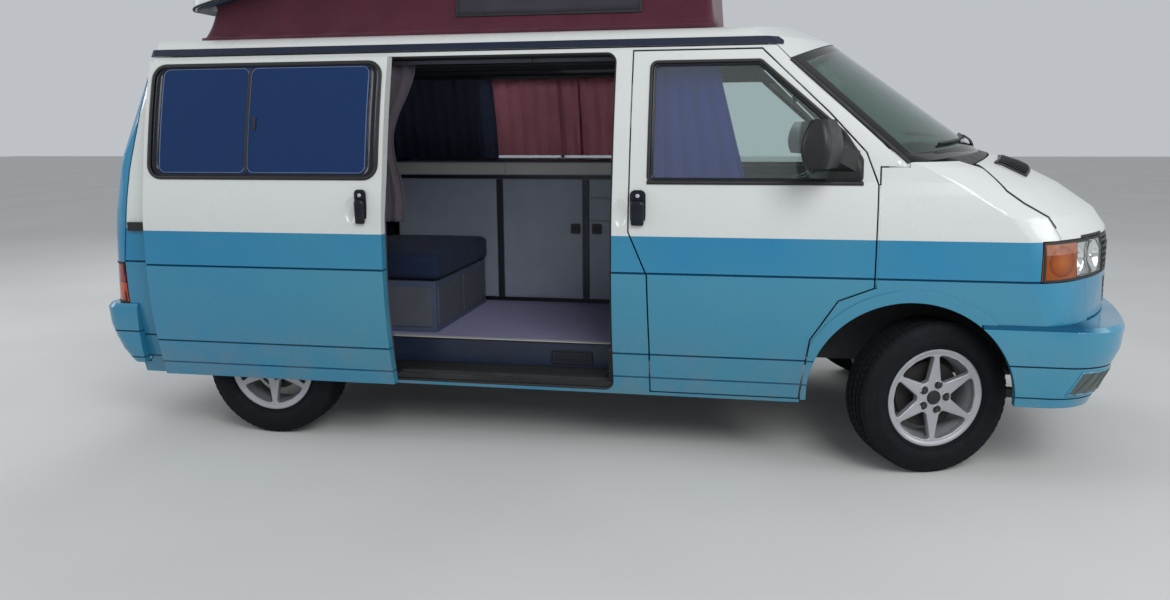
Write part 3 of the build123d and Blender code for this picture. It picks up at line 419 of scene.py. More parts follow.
def even_shading(name, limit=cos(radians(24))):
    """Soft change of shade across the fine facets of a curved skin, with its true edges left sharp."""
    mesh = NODES[name].data
    flat = [face.normal.copy() for face in mesh.polygons]
    keys = [tuple(round(c * 20000) for c in vertex.co) for vertex in mesh.vertices]
    around = {}
    for face in mesh.polygons:
        for index in face.vertices:
            around.setdefault(keys[index], []).append(face)
    normals = [None] * len(mesh.loops)
    for face in mesh.polygons:
        for loop in face.loop_indices:
            total = Vector((0, 0, 0))
            for other in around[keys[mesh.loops[loop].vertex_index]]:
                if flat[other.index].dot(flat[face.index]) > limit:
                    total += flat[other.index] * other.area
            normals[loop] = total.normalized()
    mesh.polygons.foreach_set("use_smooth", [True] * len(mesh.polygons))
    mesh.normals_split_custom_set(normals)


for name in ("bonnet", "fenders", "front_panel", "front_bumper", "rear_bumper"):
    even_shading(name)


# Mesh helpers. A spot is a point with the surface's normal there.

def add_piece(
    name, bm, material=None, body="body", slot="black_plastic", smooth=40, bevel=0.0, segments=2, thick=0.0
):
    """Turn a bmesh into a finished piece that rides on a body, in its slot's material unless one is given."""
    if not thick:
        bmesh.ops.recalc_face_normals(bm, faces=bm.faces)
    mesh = bpy.data.meshes.new(name)
    bm.to_mesh(mesh)
    bm.free()
    mesh.materials.append(material or MATERIALS[slot])
    mesh.polygons.foreach_set("use_smooth", [True] * len(mesh.polygons))
    mesh.set_sharp_from_angle(angle=radians(smooth))
    piece = bpy.data.objects.new(name, mesh)
    bpy.context.scene.collection.objects.link(piece)
    if thick:
        shell = piece.modifiers.new("thickness", "SOLIDIFY")
        shell.thickness = thick
        shell.offset = 0
    if bevel:
        edge = piece.modifiers.new("edges", "BEVEL")
        edge.width = bevel
        edge.segments = segments
        edge.limit_method = "ANGLE"
        edge.angle_limit = radians(35)
        edge.harden_normals = True
    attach(piece, body)
    return piece


def bake(piece):
    """Apply a piece's modifiers to its mesh."""
    graph = bpy.context.evaluated_depsgraph_get()
    mesh = bpy.data.meshes.new_from_object(piece.evaluated_get(graph))
    piece.modifiers.clear()
    piece.data = mesh
    return piece


def add_grid(bm, rows, closed=False):
    """Quads over rows of points; closed joins each row's end to its start."""
    lines = [[bm.verts.new(p) for p in row] for row in rows]
    for low, high in zip(lines, lines[1:]):
        count = len(low)
        for i in range(count if closed else count - 1):
            j = (i + 1) % count
            bm.faces.new((low[i], low[j], high[j], high[i]))
    return lines


def add_prism(bm, loop, run):
    """Solid with a flat outline, run along a vector."""
    low = [bm.verts.new(p) for p in loop]
    high = [bm.verts.new(Vector(p) + Vector(run)) for p in loop]
    bm.faces.new(low)
    bm.faces.new(high)
    for i in range(len(loop)):
        j = (i + 1) % len(loop)
        bm.faces.new((low[i], low[j], high[j], high[i]))


def add_box(bm, x0, x1, y0, y1, z0, z1):
    add_prism(bm, [(x0, y0, z0), (x1, y0, z0), (x1, y1, z0), (x0, y1, z0)], (0, 0, z1 - z0))


def add_lathe(bm, profile, steps, place=Matrix.Identity(4), closed=False):
    """Turn a profile of (radius, y) points about the Y axis."""
    rows = []
    turns = [2 * pi * i / steps for i in range(steps)]
    for radius, y in profile + (profile[:1] if closed else []):
        rows.append([place @ Vector((radius * cos(turn), y, radius * sin(turn))) for turn in turns])
    add_grid(bm, rows, closed=True)
    bmesh.ops.remove_doubles(bm, verts=bm.verts, dist=1e-6)


def add_sweep(bm, spots, section, closed=True):
    """Run a section of (across, up) points along spots."""
    rows = []
    count = len(spots)
    for i, (point, normal) in enumerate(spots):
        ahead = spots[(i + 1) % count][0] if closed or i < count - 1 else point
        behind = spots[i - 1][0] if closed or i else point
        run = (ahead - behind).normalized()
        side = run.cross(normal).normalized()
        up = side.cross(run).normalized()
        rows.append([point + side * a + up * b for a, b in section])
    lines = add_grid(bm, rows + (rows[:1] if closed else []), closed=True)
    if closed:
        bmesh.ops.remove_doubles(bm, verts=bm.verts, dist=1e-6)
    else:
        bm.faces.new(lines[0])
        bm.faces.new(lines[-1])


def add_plate(bm, points):
    """Flat or slightly bowed face with many corners."""
    face = bm.faces.new([bm.verts.new(p) for p in points])
    bmesh.ops.triangulate(bm, faces=[face])


def facing(points, normal):
    """Spots that all look the same way."""
    return [(Vector(p), Vector(normal)) for p in points]


def places(spots):
    return [point for point, _ in spots]


def rim(rows):
    """Round the edge of a grid of points or spots."""
    return rows[0] + [row[-1] for row in rows[1:-1]] + rows[-1][::-1] + [row[0] for row in rows[-2:0:-1]]


def axis_along(point, normal):
    """Place whose local +Y is a normal."""
    return Matrix.Translation(point) @ Vector((0, 1, 0)).rotation_difference(normal).to_matrix().to_4x4()


def at(x, y, z):
    """Place moved from the origin."""
    return Matrix.Translation((x, y, z))


def strip(name, spots, section, material=None, body="body", slot="black_plastic", closed=True, smooth=40):
    """Piece that runs a section along spots."""
    bm = bmesh.new()
    add_sweep(bm, spots, section, closed)
    return add_piece(name, bm, material, body, slot, smooth)


def turned(name, profile, steps, sites, material=None, body="body", slot="black_plastic", smooth=40):
    """Piece of one turned profile at each of some places."""
    bm = bmesh.new()
    for place in sites:
        add_lathe(bm, profile, steps, place)
    return add_piece(name, bm, material, body, slot, smooth)


def boxes(name, extents, material=None, slot="black_plastic", bevel=0.0):
    """Piece of boxes, each given as x0, x1, y0, y1, z0, z1."""
    bm = bmesh.new()
    for extent in extents:
        add_box(bm, *extent)
    return add_piece(name, bm, material, slot=slot, bevel=bevel)


def pad_section(width, height, sink=0.001):
    """Low strip with softened upper edges."""
    w, soft = width / 2, min(width, height) * 0.35
    foot = [(-w, -sink), (w, -sink), (w, height - soft)]
    return foot + [(w - soft, height), (soft - w, height), (-w, height - soft)]


def tube_section(radius, steps=10):
    return [(radius * cos(2 * pi * i / steps), radius * sin(2 * pi * i / steps)) for i in range(steps)]


def box_outline(x0, x1, z0, z1):
    return [(x0, z0), (x1, z0), (x1, z1), (x0, z1)]


def add_board(bm, outline, y, run):
    """Upright board with an outline of (x, z), its first face at y."""
    add_prism(bm, [(p.x, y, p.y) for p in outline], (0, run, 0))


def rounded(points, radius, step=0.05, parts=0):
    """Closed outline with its corners rounded, by one radius or one each, and its straight runs divided."""
    arcs = []
    count = len(points)
    radii = radius if isinstance(radius, tuple) else (radius,) * count
    for i, corner in enumerate(points):
        p = Vector(corner)
        a, c = Vector(points[i - 1]) - p, Vector(points[(i + 1) % count]) - p
        half = a.angle(c) / 2
        cut = min(radii[i] / tan(half), a.length * 0.45, c.length * 0.45)
        r = cut * tan(half)
        centre = p + (a.normalized() + c.normalized()).normalized() * (r / sin(half))
        start, end = p + a.normalized() * cut - centre, p + c.normalized() * cut - centre
        arcs.append([centre + start.slerp(end, k / 6).normalized() * r for k in range(7)])
    dense = []
    for i, arc in enumerate(arcs):
        p, q = arc[-1], arcs[(i + 1) % count][0]
        runs = parts or max(1, ceil((q - p).length / step))
        dense += arc[:-1] + [p.lerp(q, k / runs) for k in range(runs)]
    return dense


def oblong(x0, x1, z0, z1, radius, step=0.05, parts=0):
    """Rectangle with rounded corners."""
    return rounded(box_outline(x0, x1, z0, z1), radius, step, parts)


def inset(points, by):
    """Convex outline, counter-clockwise, moved inwards with its corners kept."""
    lines = []
    for a, b in zip(points, points[1:] + points[:1]):
        run = (Vector(b) - Vector(a)).normalized()
        lines.append((Vector(a) + Vector((-run.y, run.x)) * by, run))
    out = []
    for (p, d), (q, e) in zip(lines[-1:] + lines[:-1], lines):
        t = ((q.x - p.x) * e.y - (q.y - p.y) * e.x) / (d.x * e.y - d.y * e.x)
        out.append(tuple(p + d * t))
    return out


def band(name, outer, inner, way, body="body", out=0.0, radii=(0.06, 0.035)):
    """Flat black border on a pane, between two outlines of (x, z) with as many corners."""
    loops = [rounded(outline, radius, parts=14) for outline, radius in zip((outer, inner), radii)]
    bm = bmesh.new()
    add_grid(bm, [places(on_skin(loop, way, -0.002, out)) for loop in loops], closed=True)
    add_piece(name, bm, GLOSS_BLACK, body, thick=0.0012)


def surface(*names):
    """Search tree over the faces of some CAD nodes."""
    verts, faces = [], []
    for name in names:
        mesh = NODES[name].data
        base = len(verts)
        verts += [v.co.copy() for v in mesh.vertices]
        faces += [[base + i for i in p.vertices] for p in mesh.polygons]
    return BVHTree.FromPolygons(verts, faces)


def cast(tree, start, way):
    """First spot that a ray meets, with its normal turned back along the ray."""
    point, normal, _, _ = tree.ray_cast(Vector(start), Vector(way))
    if point is None:
        return None, None
    return point, normal if normal.dot(Vector(way)) < 0 else -normal


def ring_cast(tree, centre, angle, way, reach, limit):
    """Spot that a level ray from outside meets on its way to a centre, or nothing past the limit."""
    aim = Vector((cos(radians(angle)), way * sin(radians(angle)), 0))
    start = Vector(centre) + aim * reach
    point, normal = cast(tree, start, -aim)
    return [(point, normal)] if point is not None and (start - point).length < limit else []


def soft_box(size, corner, crown=(0, 0, 0), cuts=8):
    """Crowned cushion: size is its half lengths, crown how far each pair of faces swells."""
    bm = bmesh.new()
    bmesh.ops.create_cube(bm, size=2)
    bmesh.ops.subdivide_edges(bm, edges=bm.edges, cuts=cuts, use_grid_fill=True)
    core = Vector([s - corner for s in size])
    for v in bm.verts:
        unit = v.co.copy()
        p = Vector([u * s for u, s in zip(unit, size)])
        near = Vector([min(max(a, -c), c) for a, c in zip(p, core)])
        away = p - near
        p = near + away.normalized() * corner if away.length > 1e-9 else p
        for axis in range(3):
            a, b = [1 - unit[k] ** 2 for k in range(3) if k != axis]
            p[axis] += crown[axis] * (1 if unit[axis] > 0 else -1) * (a * b) ** 0.7 * abs(unit[axis]) ** 6
        v.co = p
    return bm


# Windows in the flanks: rubber lip, black border, and a painted highlight along the edge of each sliding pane

SILL_Z, HEAD_Z = 1.220, 1.716
REAR_PANE = [(-2.045, SILL_Z), (-1.120, SILL_Z), (-1.120, HEAD_Z), (-1.962, HEAD_Z)]
REAR_INNER = [(-1.994, 1.240), (-1.166, 1.240), (-1.166, 1.703), (-1.918, 1.703)]
SLIDE_PANE = box_outline(-1.960, -0.863, SILL_Z, HEAD_Z)
SLIDE_INNER = box_outline(-1.914, -0.911, 1.239, 1.704)
MIDDLE_PANE = box_outline(-0.975, 0.122, SILL_Z, HEAD_Z)
MIDDLE_INNER = box_outline(-0.929, 0.074, 1.239, 1.704)
CAB_PANE = [
    (0.305, 1.206), (1.165, 1.206), (1.165, 1.300), (1.095, 1.405),
    (0.812, 1.650), (0.755, 1.700), (0.305, 1.700),
]

for name, way, outer, inner, out, split_x in (
    ("slide", -1, SLIDE_PANE, SLIDE_INNER, DOOR_OUT, -1.480),
    ("rear_right", -1, REAR_PANE, REAR_INNER, 0.0, None),
    ("rear_left", 1, REAR_PANE, REAR_INNER, 0.0, None),
    ("middle_left", 1, MIDDLE_PANE, MIDDLE_INNER, 0.0, -0.440),
):
    lip = on_skin(rounded(outer, 0.060), way, out=out)
    strip(f"window_lip_{name}", lip, pad_section(0.016, 0.004), RUBBER, smooth=50)
    band(f"window_border_{name}", outer, inner, way, out=out)
    if split_x:
        x0, z0 = inner[0][0] + 0.006, inner[0][1] + 0.005
        x1, z1 = inner[2][0] - 0.006, inner[2][1] - 0.005
        # Pale strips round each sliding pane, a painted highlight on its edge
        bm = bmesh.new()
        for low, high in ((x0, split_x - 0.006), (split_x + 0.006, x1)):
            pane = oblong(low, high, z0, z1, 0.03)
            add_sweep(bm, on_skin(pane, way, -0.0025, out), pad_section(0.0035, 0.0018))
        add_piece(f"window_edge_highlight_{name}", bm, PAINTED_HIGHLIGHT_LINE, slot="glass")
        divider = [(split_x, z0 + (z1 - z0) * i / 16) for i in range(17)]
        grip = [(split_x + 0.035, 1.43 + 0.006 * i) for i in range(10)]
        bm = bmesh.new()
        add_sweep(bm, on_skin(divider, way, -0.002, out), pad_section(0.014, 0.004), closed=False)
        add_sweep(bm, on_skin(grip, way, -0.002, out), pad_section(0.012, 0.007), closed=False)
        add_piece(f"window_divider_{name}", bm, RUBBER)

# Front doors: window rubbers, sail with the mirror's foot, mirror glass

SAIL = [(1.024, 1.208), (1.162, 1.208), (1.162, 1.298), (1.096, 1.400), (1.058, 1.396)]
for name, way in SIDES:
    body = f"door_{name}"
    lip = on_skin(rounded(CAB_PANE, 0.025), way)
    strip(f"door_lip_{name}", lip, pad_section(0.013, 0.004), RUBBER, body, smooth=50)
    band(f"door_border_{name}", CAB_PANE, inset(CAB_PANE, 0.019), way, body, radii=(0.025, 0.012))
    waist = on_skin([(0.300 + 0.8725 * i / 20, 1.205) for i in range(21)], way)
    strip(f"door_waist_{name}", waist, pad_section(0.016, 0.006), RUBBER, body, closed=False, smooth=50)
    bm = bmesh.new()
    add_plate(bm, places(on_skin(rounded(SAIL, 0.012), way, 0.0015)))
    add_piece(f"door_sail_{name}", bm, body=body, thick=0.007)
    bm = bmesh.new()
    side = oblong(-0.080, 0.080, -0.052, 0.052, 0.020)
    add_prism(bm, [(0.049 * p.y - 0.0515, p.x, 1.359 + p.y) for p in side], (0.003, 0, 0))
    bm.transform(at(1.000, way * 1.020, 0) @ Matrix.Rotation(way * radians(20), 4, "Z"))
    add_piece(f"mirror_glass_{name}", bm, MIRROR, body, "glass", bevel=0.001)


def door_handle(name, x, width, way, body, out=0.0):
    """Upright black paddle on its plate, with the lock's key cylinder at the top."""
    place = Matrix.Translation(skin(x, 1.098, way, 0, out)[0]) @ Matrix.Rotation(-way * 0.045, 4, "X")
    plate = bmesh.new()
    outline = oblong(-width / 2, width / 2, -0.077, 0.077, width * 0.33)
    add_board(plate, outline, -way * 0.004, way * 0.012)
    plate.transform(place)
    add_piece(f"handle_plate_{name}", plate, GLOSS_BLACK, body, bevel=0.003)
    paddle = soft_box((width * 0.42, 0.011, 0.052), 0.010, (0, 0.006, 0), 10)
    paddle.transform(place @ at(0, way * 0.020, -0.018))
    add_piece(f"handle_{name}", paddle, GLOSS_BLACK, body)
    key = bmesh.new()
    profile = [(AXIS, 0.004), (0.0075, 0.004), (0.0085, 0.003), (0.0085, -0.004), (AXIS, -0.004)]
    face = place @ at(0, way * 0.008, 0.053)
    add_lathe(key, [(r, y * way) for r, y in profile], 24, face, closed=True)
    add_piece(f"lock_{name}", key, CHROME, body, "alloy")


for name, way in SIDES:
    door_handle(f"door_{name}", 0.266, 0.066, way, f"door_{name}")
door_handle("slide", -0.928, 0.052, -1, "body", DOOR_OUT)

# Wheels

TYRE_R = 0.3235
TYRE_PROFILE = [
    (0.1905, -0.0710), (0.2088, -0.0715), (0.2118, -0.0820), (0.2180, -0.0885), (0.2215, -0.0865),
    (0.2245, -0.0905), (0.2380, -0.0985), (0.2545, -0.1020), (0.2680, -0.1000), (0.2705, -0.0980),
    (0.2730, -0.0985), (0.2860, -0.0945), (0.2955, -0.0915), (0.3020, -0.0870), (0.3105, -0.0850),
    (0.3155, -0.0780),
]
WALL_POINTS = len(TYRE_PROFILE)
for y in (-0.050, -0.018, 0.018, 0.050):
    TYRE_PROFILE += [(0.3170, y - 0.0050), (0.3130, y - 0.0035), (0.3130, y + 0.0035), (0.3170, y + 0.0050)]
TYRE_PROFILE += [(r, -y) for r, y in TYRE_PROFILE[WALL_POINTS - 1::-1]]
RIBS = [(-0.066, 0.022), (-0.034, 0.020), (0.0, 0.024), (0.034, 0.020), (0.066, 0.022)]
BLOCKS = 62
BLOCK_CORNERS = ((-0.5, -0.42), (-0.5, 0.42), (0.5, 0.42), (0.5, -0.42))

RIM_RING = [
    (0.1870, 0.0737), (0.1915, 0.0752), (0.1975, 0.0790), (0.2040, 0.0805), (0.2078, 0.0790),
    (0.2080, 0.0720), (0.1915, 0.0715), (0.1900, -0.0710), (0.2070, -0.0715), (0.2070, -0.0785),
    (0.1995, -0.0785), (0.1680, -0.0400), (0.1680, 0.0300), (0.1810, 0.0480), (0.1825, 0.0600),
    (0.1835, 0.0715),
]
WHEEL_CAP = [
    (0.0285, 0.0640), (0.0285, 0.0705), (0.0265, 0.0725), (0.0220, 0.0725), (0.0205, 0.0710),
    (0.0120, 0.0725), (AXIS, 0.0730),
]
HUB_FACE = 0.0663
BOLT_CIRCLE = 0.056
BOLT_LIP = [(0.0205, -0.001), (0.0203, 0.0012), (0.0192, 0.0020), (0.0180, 0.0016), (0.0172, 0.0)]
BOLT_WELL = [(0.0176, -0.001), (0.0174, 0.0008), (AXIS, 0.0006)]


def tyre_mesh():
    """Tyre with moulded rings on its side walls and five rows of tread blocks cut by slanted grooves."""
    bm = bmesh.new()
    add_lathe(bm, TYRE_PROFILE, 120, closed=True)
    for row, (y0, width) in enumerate(RIBS):
        crown = TYRE_R - 0.0022 * (abs(y0) / 0.066) ** 2
        lean = 0.10 * (1 if row % 2 else -1)
        for index in range(BLOCKS):
            corners = []
            for side, end in BLOCK_CORNERS:
                angle = 2 * pi * (index + 0.37 * row + end) / BLOCKS + lean * side * 0.5
                corners.append((angle, side * width))
            middle = sum(angle for angle, _ in corners) / 4
            rows = []
            for radius, share in ((0.3125, 1.0), (crown - 0.0012, 1.0), (crown, 0.90)):
                ring = [(middle + (angle - middle) * share, y0 + across * share) for angle, across in corners]
                rows.append([(radius * cos(a), y, radius * sin(a)) for a, y in ring])
            bm.faces.new(add_grid(bm, rows, closed=True)[-1])
    return bm


def rim_height(r):
    """How far the wheel's face stands out at a radius."""
    return 0.0665 + 0.0075 * min(max((r - 0.060) / 0.120, 0), 1)


def sector_edge(window, centre, low, high):
    """Points on the border of a sixth of a ring, straight out from each point of its window."""
    side = Vector((cos(pi / 6), sin(pi / 6)))
    edge = []
    for p in window:
        ray = (p - centre).normalized()
        b = centre.dot(ray)
        reach = []
        for radius in (low, high):
            root = b * b - centre.length_squared + radius * radius
            if root > 0:
                reach += [-b - sqrt(root), -b + sqrt(root)]
        for way in (-1, 1):
            across = Vector((-side.y, way * side.x))
            if abs(ray.dot(across)) > 1e-6:
                reach.append(-centre.dot(across) / ray.dot(across))
        edge.append(centre + ray * min(r for r in reach if r > 1e-4))
    return edge


def rim_face():
    """Face of the alloy wheel: six windows between spokes that flare into the ring and the hub."""
    arc = [(0.180 * cos(radians(a)), 0.180 * sin(radians(a))) for a in (-16, 0, 16)]
    corners = [(0.0631, 0), (0.1605, -0.0815)] + arc + [(0.1605, 0.0815)]
    window = rounded(corners, (0.019, 0.012, 0.03, 0.03, 0.03, 0.012), parts=5)
    centre = Vector((0.128, 0))
    edge = sector_edge(window, centre, 0.046, 0.190)
    rows = [[(p, -0.026) for p in edge], [(p, -0.026) for p in window]]
    for out, drop in ((0.0, -0.0045), (0.0008, -0.0020), (0.0022, -0.0006), (0.0045, 0.0)):
        rows.append([(p + (p - centre).normalized() * out, drop) for p in window])
    rows += [[(p.lerp(q, share), 0.0) for p, q in zip(window, edge)] for share in (0.6, 1.0)]
    rows = [[Vector((p.x, rim_height(p.length) + drop, p.y)) for p, drop in row] for row in rows]
    bm = bmesh.new()
    for index in range(6):
        turn = Matrix.Rotation(radians(60 * index), 4, "Y")
        add_grid(bm, [[turn @ p for p in row] for row in rows], closed=True)
    bmesh.ops.remove_doubles(bm, verts=bm.verts, dist=2e-5)
    add_lathe(bm, RIM_RING, 96, closed=True)
    add_lathe(bm, [(0.049, HUB_FACE), (0.030, HUB_FACE), (0.0285, 0.0640), (AXIS, 0.0640)], 60)
    add_lathe(bm, [(0.078, 0.0520), (0.078, 0.0430), (0.030, 0.0430)], 60)
    return bm


def wheel_matrix(x, y, steer):
    """Place of a wheel whose outer face looks along local +Y."""
    way = 1 if y > 0 else -1
    pin = y - way * 0.130
    place = at(x, pin, 0) @ Matrix.Rotation(radians(steer), 4, "Z")
    place = place @ at(0, y - pin, TYRE_R)
    return place @ Matrix.Rotation(0 if way > 0 else pi, 4, "Z")


def add_screw(bm, place, radius, height, sides=6):
    """Faceted head with a domed top, its axis along local +Y."""
    head = [(radius, 0.0), (radius, height * 0.8), (radius * 0.6, height), (AXIS, height)]
    add_lathe(bm, head, sides, place)


for name, x, y, steer in (
    ("front_right", 1.4315, -0.7945, 20),
    ("front_left", 1.4315, 0.7945, 20),
    ("rear_right", -1.4885, -0.777, 0),
    ("rear_left", -1.4885, 0.777, 0),
):
    place = wheel_matrix(x, y, steer)
    body = f"wheel_{name}"
    bm = tyre_mesh()
    bm.transform(place)
    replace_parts(add_piece(f"tyre_tread_{name}", bm, None, body, "tyre", smooth=30), f"tyre_{name}")
    bm = rim_face()
    bm.transform(place)
    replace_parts(add_piece(f"rim_face_{name}", bm, RIM_SILVER, body, "alloy", smooth=38), f"rim_{name}")
    bolts = []
    for index in range(5):
        angle = radians(180 + 72 * index)
        x, z = BOLT_CIRCLE * cos(angle), BOLT_CIRCLE * sin(angle)
        bolts.append(place @ at(x, HUB_FACE, z))
    bm = bmesh.new()
    for site in bolts:
        add_screw(bm, site, 0.0105, 0.0045)
    valve = place @ at(0.183 * cos(0.9), 0.035, 0.183 * sin(0.9))
    add_lathe(bm, [(0.004, 0.0), (0.004, 0.024), (0.0025, 0.026), (AXIS, 0.026)], 10, valve)
    add_piece(f"wheel_bolts_{name}", bm, None, body, "steel")
    turned(f"bolt_lips_{name}", BOLT_LIP, 28, bolts, RIM_SILVER, body, "alloy")
    turned(f"bolt_wells_{name}", BOLT_WELL, 28, bolts, None, body)
    turned(f"wheel_cap_{name}", WHEEL_CAP, 40, [place], None, body, smooth=25)

# Bonnet: louvres, and its shut line along each fender

BONNET = surface("bonnet")
LAMPS = surface("indicators", "headlamps")
SCREEN = surface("windscreen")
FRONT = surface("front_bumper")
REAR = surface("tailgate", "tailgate_window", "tail_lamps", "rear_bumper")


def louvre_spot(y, t, lift):
    """Spot of the louvre panel: t is 0 along its rear edge, as curved as the bonnet's, and 1 at its front."""
    x = 0.192 + sqrt(2.56 - y * y) + 0.050 + 0.115 * t
    point, normal = cast(BONNET, (x, y, 2.0), (0, 0, -1))
    return point + normal * lift, normal


bm = bmesh.new()
across = [-0.575 + 0.335 * j / 14 for j in range(15)]
add_grid(bm, [places(louvre_spot(y, i / 8, 0.0016) for y in across) for i in range(9)])
add_piece("louvre_bed", bm, body="bonnet", thick=0.003)
bm = bmesh.new()
for index in range(9):
    slat = [louvre_spot(-0.562 + 0.309 * index / 8, 0.03 + 0.94 * i / 8, 0.003) for i in range(9)]
    add_sweep(bm, slat, [(-0.012, 0.0), (0.008, 0.0), (0.012, 0.009), (0.006, 0.010)], closed=False)
add_piece("louvre_slats", bm, body="bonnet", smooth=20)
border = [louvre_spot(p.y, p.x, 0.0) for p in oblong(-0.03, 1.03, -0.580, -0.235, 0.018, 0.04)]
strip("louvre_frame", border, pad_section(0.012, 0.008), body="bonnet", smooth=50)

BONNET_SIDE = [(1.480, 0.540), (1.619, 0.690), (1.725, 0.828), (1.790, 0.840), (2.300, 0.840)]


def bonnet_edge(way):
    """Spots just off the bonnet's side edge, over the gap to the fender."""
    spots = []
    for p, q in zip(map(Vector, BONNET_SIDE), map(Vector, BONNET_SIDE[1:])):
        outward = Vector((p.y - q.y, q.x - p.x)).normalized()
        out = Vector((outward.x, way * outward.y, 0))
        for i in range(16):
            inside = p.lerp(q, i / 16) - outward * 0.005
            point, normal = cast(BONNET, (inside.x, way * inside.y, 2.0), (0, 0, -1))
            if point is not None and point.z > 0.985:
                spots.append((point + (out - normal * out.dot(normal)).normalized() * 0.005, normal))
    return spots


# Headlamps and indicators: seals, reflectors with two bowls, bulb shields

BOWL_Z = 0.902
BOWLS = ((0.655, 0.072), (0.790, 0.062))
SHIELD = [(0.013, 0.0), (0.013, 0.010), (0.010, 0.014), (AXIS, 0.016)]
NOSE = (1.70, 0.45)


def nose_line(tree, z, way, first=71.0, last=10.5, count=48):
    """Spots round the nose's corner at a height, from the flank to the front."""
    spots = []
    for i in range(count + 1):
        angle = first + (last - first) * i / count
        spots += ring_cast(tree, (NOSE[0], way * NOSE[1], z), angle, way, 1.5, 1.25)
    return spots


def reflector_row(z, way):
    row = []
    for point, normal in nose_line(LAMPS, z, way, 46.0, 11.0, 40):
        depth = 0.016
        for bowl_y, radius in BOWLS:
            far = min(hypot(abs(point.y) - bowl_y, z - BOWL_Z) / radius, 1)
            depth += 0.028 * (1 - far * far)
        row.append(point - normal * depth)
    return row


for name, way in SIDES:
    lines = [nose_line(LAMPS, 0.8285 + 0.0185 * i, way) for i in range(9)]
    strip(f"lamp_seal_{name}", rim(lines), pad_section(0.010, 0.0035), RUBBER)
    lip = nose_line(BONNET, 0.9900, way, 40.0, 11.0)
    strip(f"bonnet_lip_{name}", lip, pad_section(0.011, 0.0015), RUBBER, "bonnet", closed=False)
    strip(f"bonnet_gap_{name}", bonnet_edge(way), pad_section(0.0075, 0.0010), RUBBER, "bonnet", closed=False)
    rows = [reflector_row(0.832 + 0.141 * i / 20, way) for i in range(21)]
    width = min(len(row) for row in rows)
    bm = bmesh.new()
    add_grid(bm, [row[:width] for row in rows])
    add_piece(f"lamp_reflector_{name}", bm, CHROME, slot="alloy", thick=0.001)
    sites = []
    for bowl_y, _ in BOWLS:
        point, normal = cast(LAMPS, (2.8, way * bowl_y, BOWL_Z), (-1, 0, 0))
        sites.append(axis_along(point - normal * 0.030, normal))
    turned(f"lamp_shield_{name}", SHIELD, 20, sites, CHROME, slot="alloy")


# Moulded ducts in the corners of the front bumper

def duct_spot(way, t, i):
    """Spot of a duct: t from its curved outer edge to the front, i up in ten steps."""
    outer = 58.0 - 4.5 * (i / 10) ** 0.7
    centre = (NOSE[0], way * NOSE[1], 0.374 + 0.094 * i / 10)
    return ring_cast(FRONT, centre, outer + (24.0 - outer) * t, way, 1.5, 1.25)[0]


for name, way in SIDES:
    bm = bmesh.new()
    grid = [[duct_spot(way, t / 12, i) for t in range(13)] for i in range(11)]
    add_grid(bm, [[point + normal * 0.0012 for point, normal in row] for row in grid])
    add_piece(f"bumper_duct_{name}", bm, DUCT, thick=0.002)
    bm = bmesh.new()
    for rib in range(5):
        lean = [duct_spot(way, 0.10 + 0.18 * rib + 0.010 * i, i) for i in range(11)]
        add_sweep(bm, lean, pad_section(0.007, 0.008), closed=False)
    add_piece(f"bumper_rib_{name}", bm, DUCT, smooth=50)
    section = pad_section(0.007, 0.0045)
    strip(f"bumper_duct_rim_{name}", rim(grid)[::-1], section, slot="paint_blue", smooth=50)


def plate(name, tree, side, z, body):
    """Blank number plate that stands on a bowed surface, with its two fixing screws and its holder."""
    half_y, half_z = 0.26, 0.056
    x = cast(tree, (side * 4, 0, z), (-side, 0, 0))[0].x + side * 0.004
    bm = bmesh.new()
    outline = oblong(-half_y, half_y, -half_z, half_z, 0.010)
    add_prism(bm, [(x, p.x, z + p.y) for p in outline], (side * 0.004, 0, 0))
    add_piece(f"plate_{name}", bm, PLATE, body, "lid_shell", bevel=0.001)
    bm = bmesh.new()
    for y in (-0.17, 0.17):
        site = at(x + side * 0.004, y, z) @ Matrix.Rotation(-side * pi / 2, 4, "Z")
        add_screw(bm, site, 0.006, 0.003, 12)
    add_piece(f"plate_screws_{name}", bm, None, body, "steel")
    bm = bmesh.new()
    depth = sorted((x, x - side * 0.03))
    add_box(bm, *depth, -half_y - 0.012, half_y + 0.012, z - half_z - 0.01, z + half_z + 0.01)
    add_piece(f"plate_holder_{name}", bm, None, body, bevel=0.004)


plate("front", FRONT, 1, 0.556, "body")
plate("rear", REAR, -1, 0.905, "tailgate")

BLADE = [(-0.002, -0.003), (0.002, -0.003), (0.005, 0.010), (-0.005, 0.010)]
WIPER_ARM = [(-0.007, -0.004), (0.007, -0.004), (0.006, 0.004), (-0.006, 0.004)]
PIVOT_CAP = [(0.018, -0.014), (0.018, 0.006), (0.012, 0.012), (AXIS, 0.013)]


def wiper(name, tree, side, pivot, heel, toe, body):
    """Wiper: a pivot cap, an arm and a blade that lies on the glass. Heel and toe are (y, z)."""
    blade = []
    for i in range(13):
        y, z = Vector(heel).lerp(Vector(toe), i / 12)
        point, normal = cast(tree, (side * 4, y, z), (-side, 0, 0))
        blade.append((point + normal * 0.004, normal))
    bm = bmesh.new()
    add_sweep(bm, blade, BLADE, closed=False)
    start, (middle, up) = Vector(pivot), blade[6]
    end = middle + up * 0.018
    arm = [(start.lerp(end, i / 8) + up * (0.014 * sin(pi * i / 8)), up) for i in range(9)]
    add_sweep(bm, arm, WIPER_ARM, closed=False)
    add_lathe(bm, PIVOT_CAP, 20, axis_along(start, up))
    add_piece(name, bm, None, body, smooth=35)


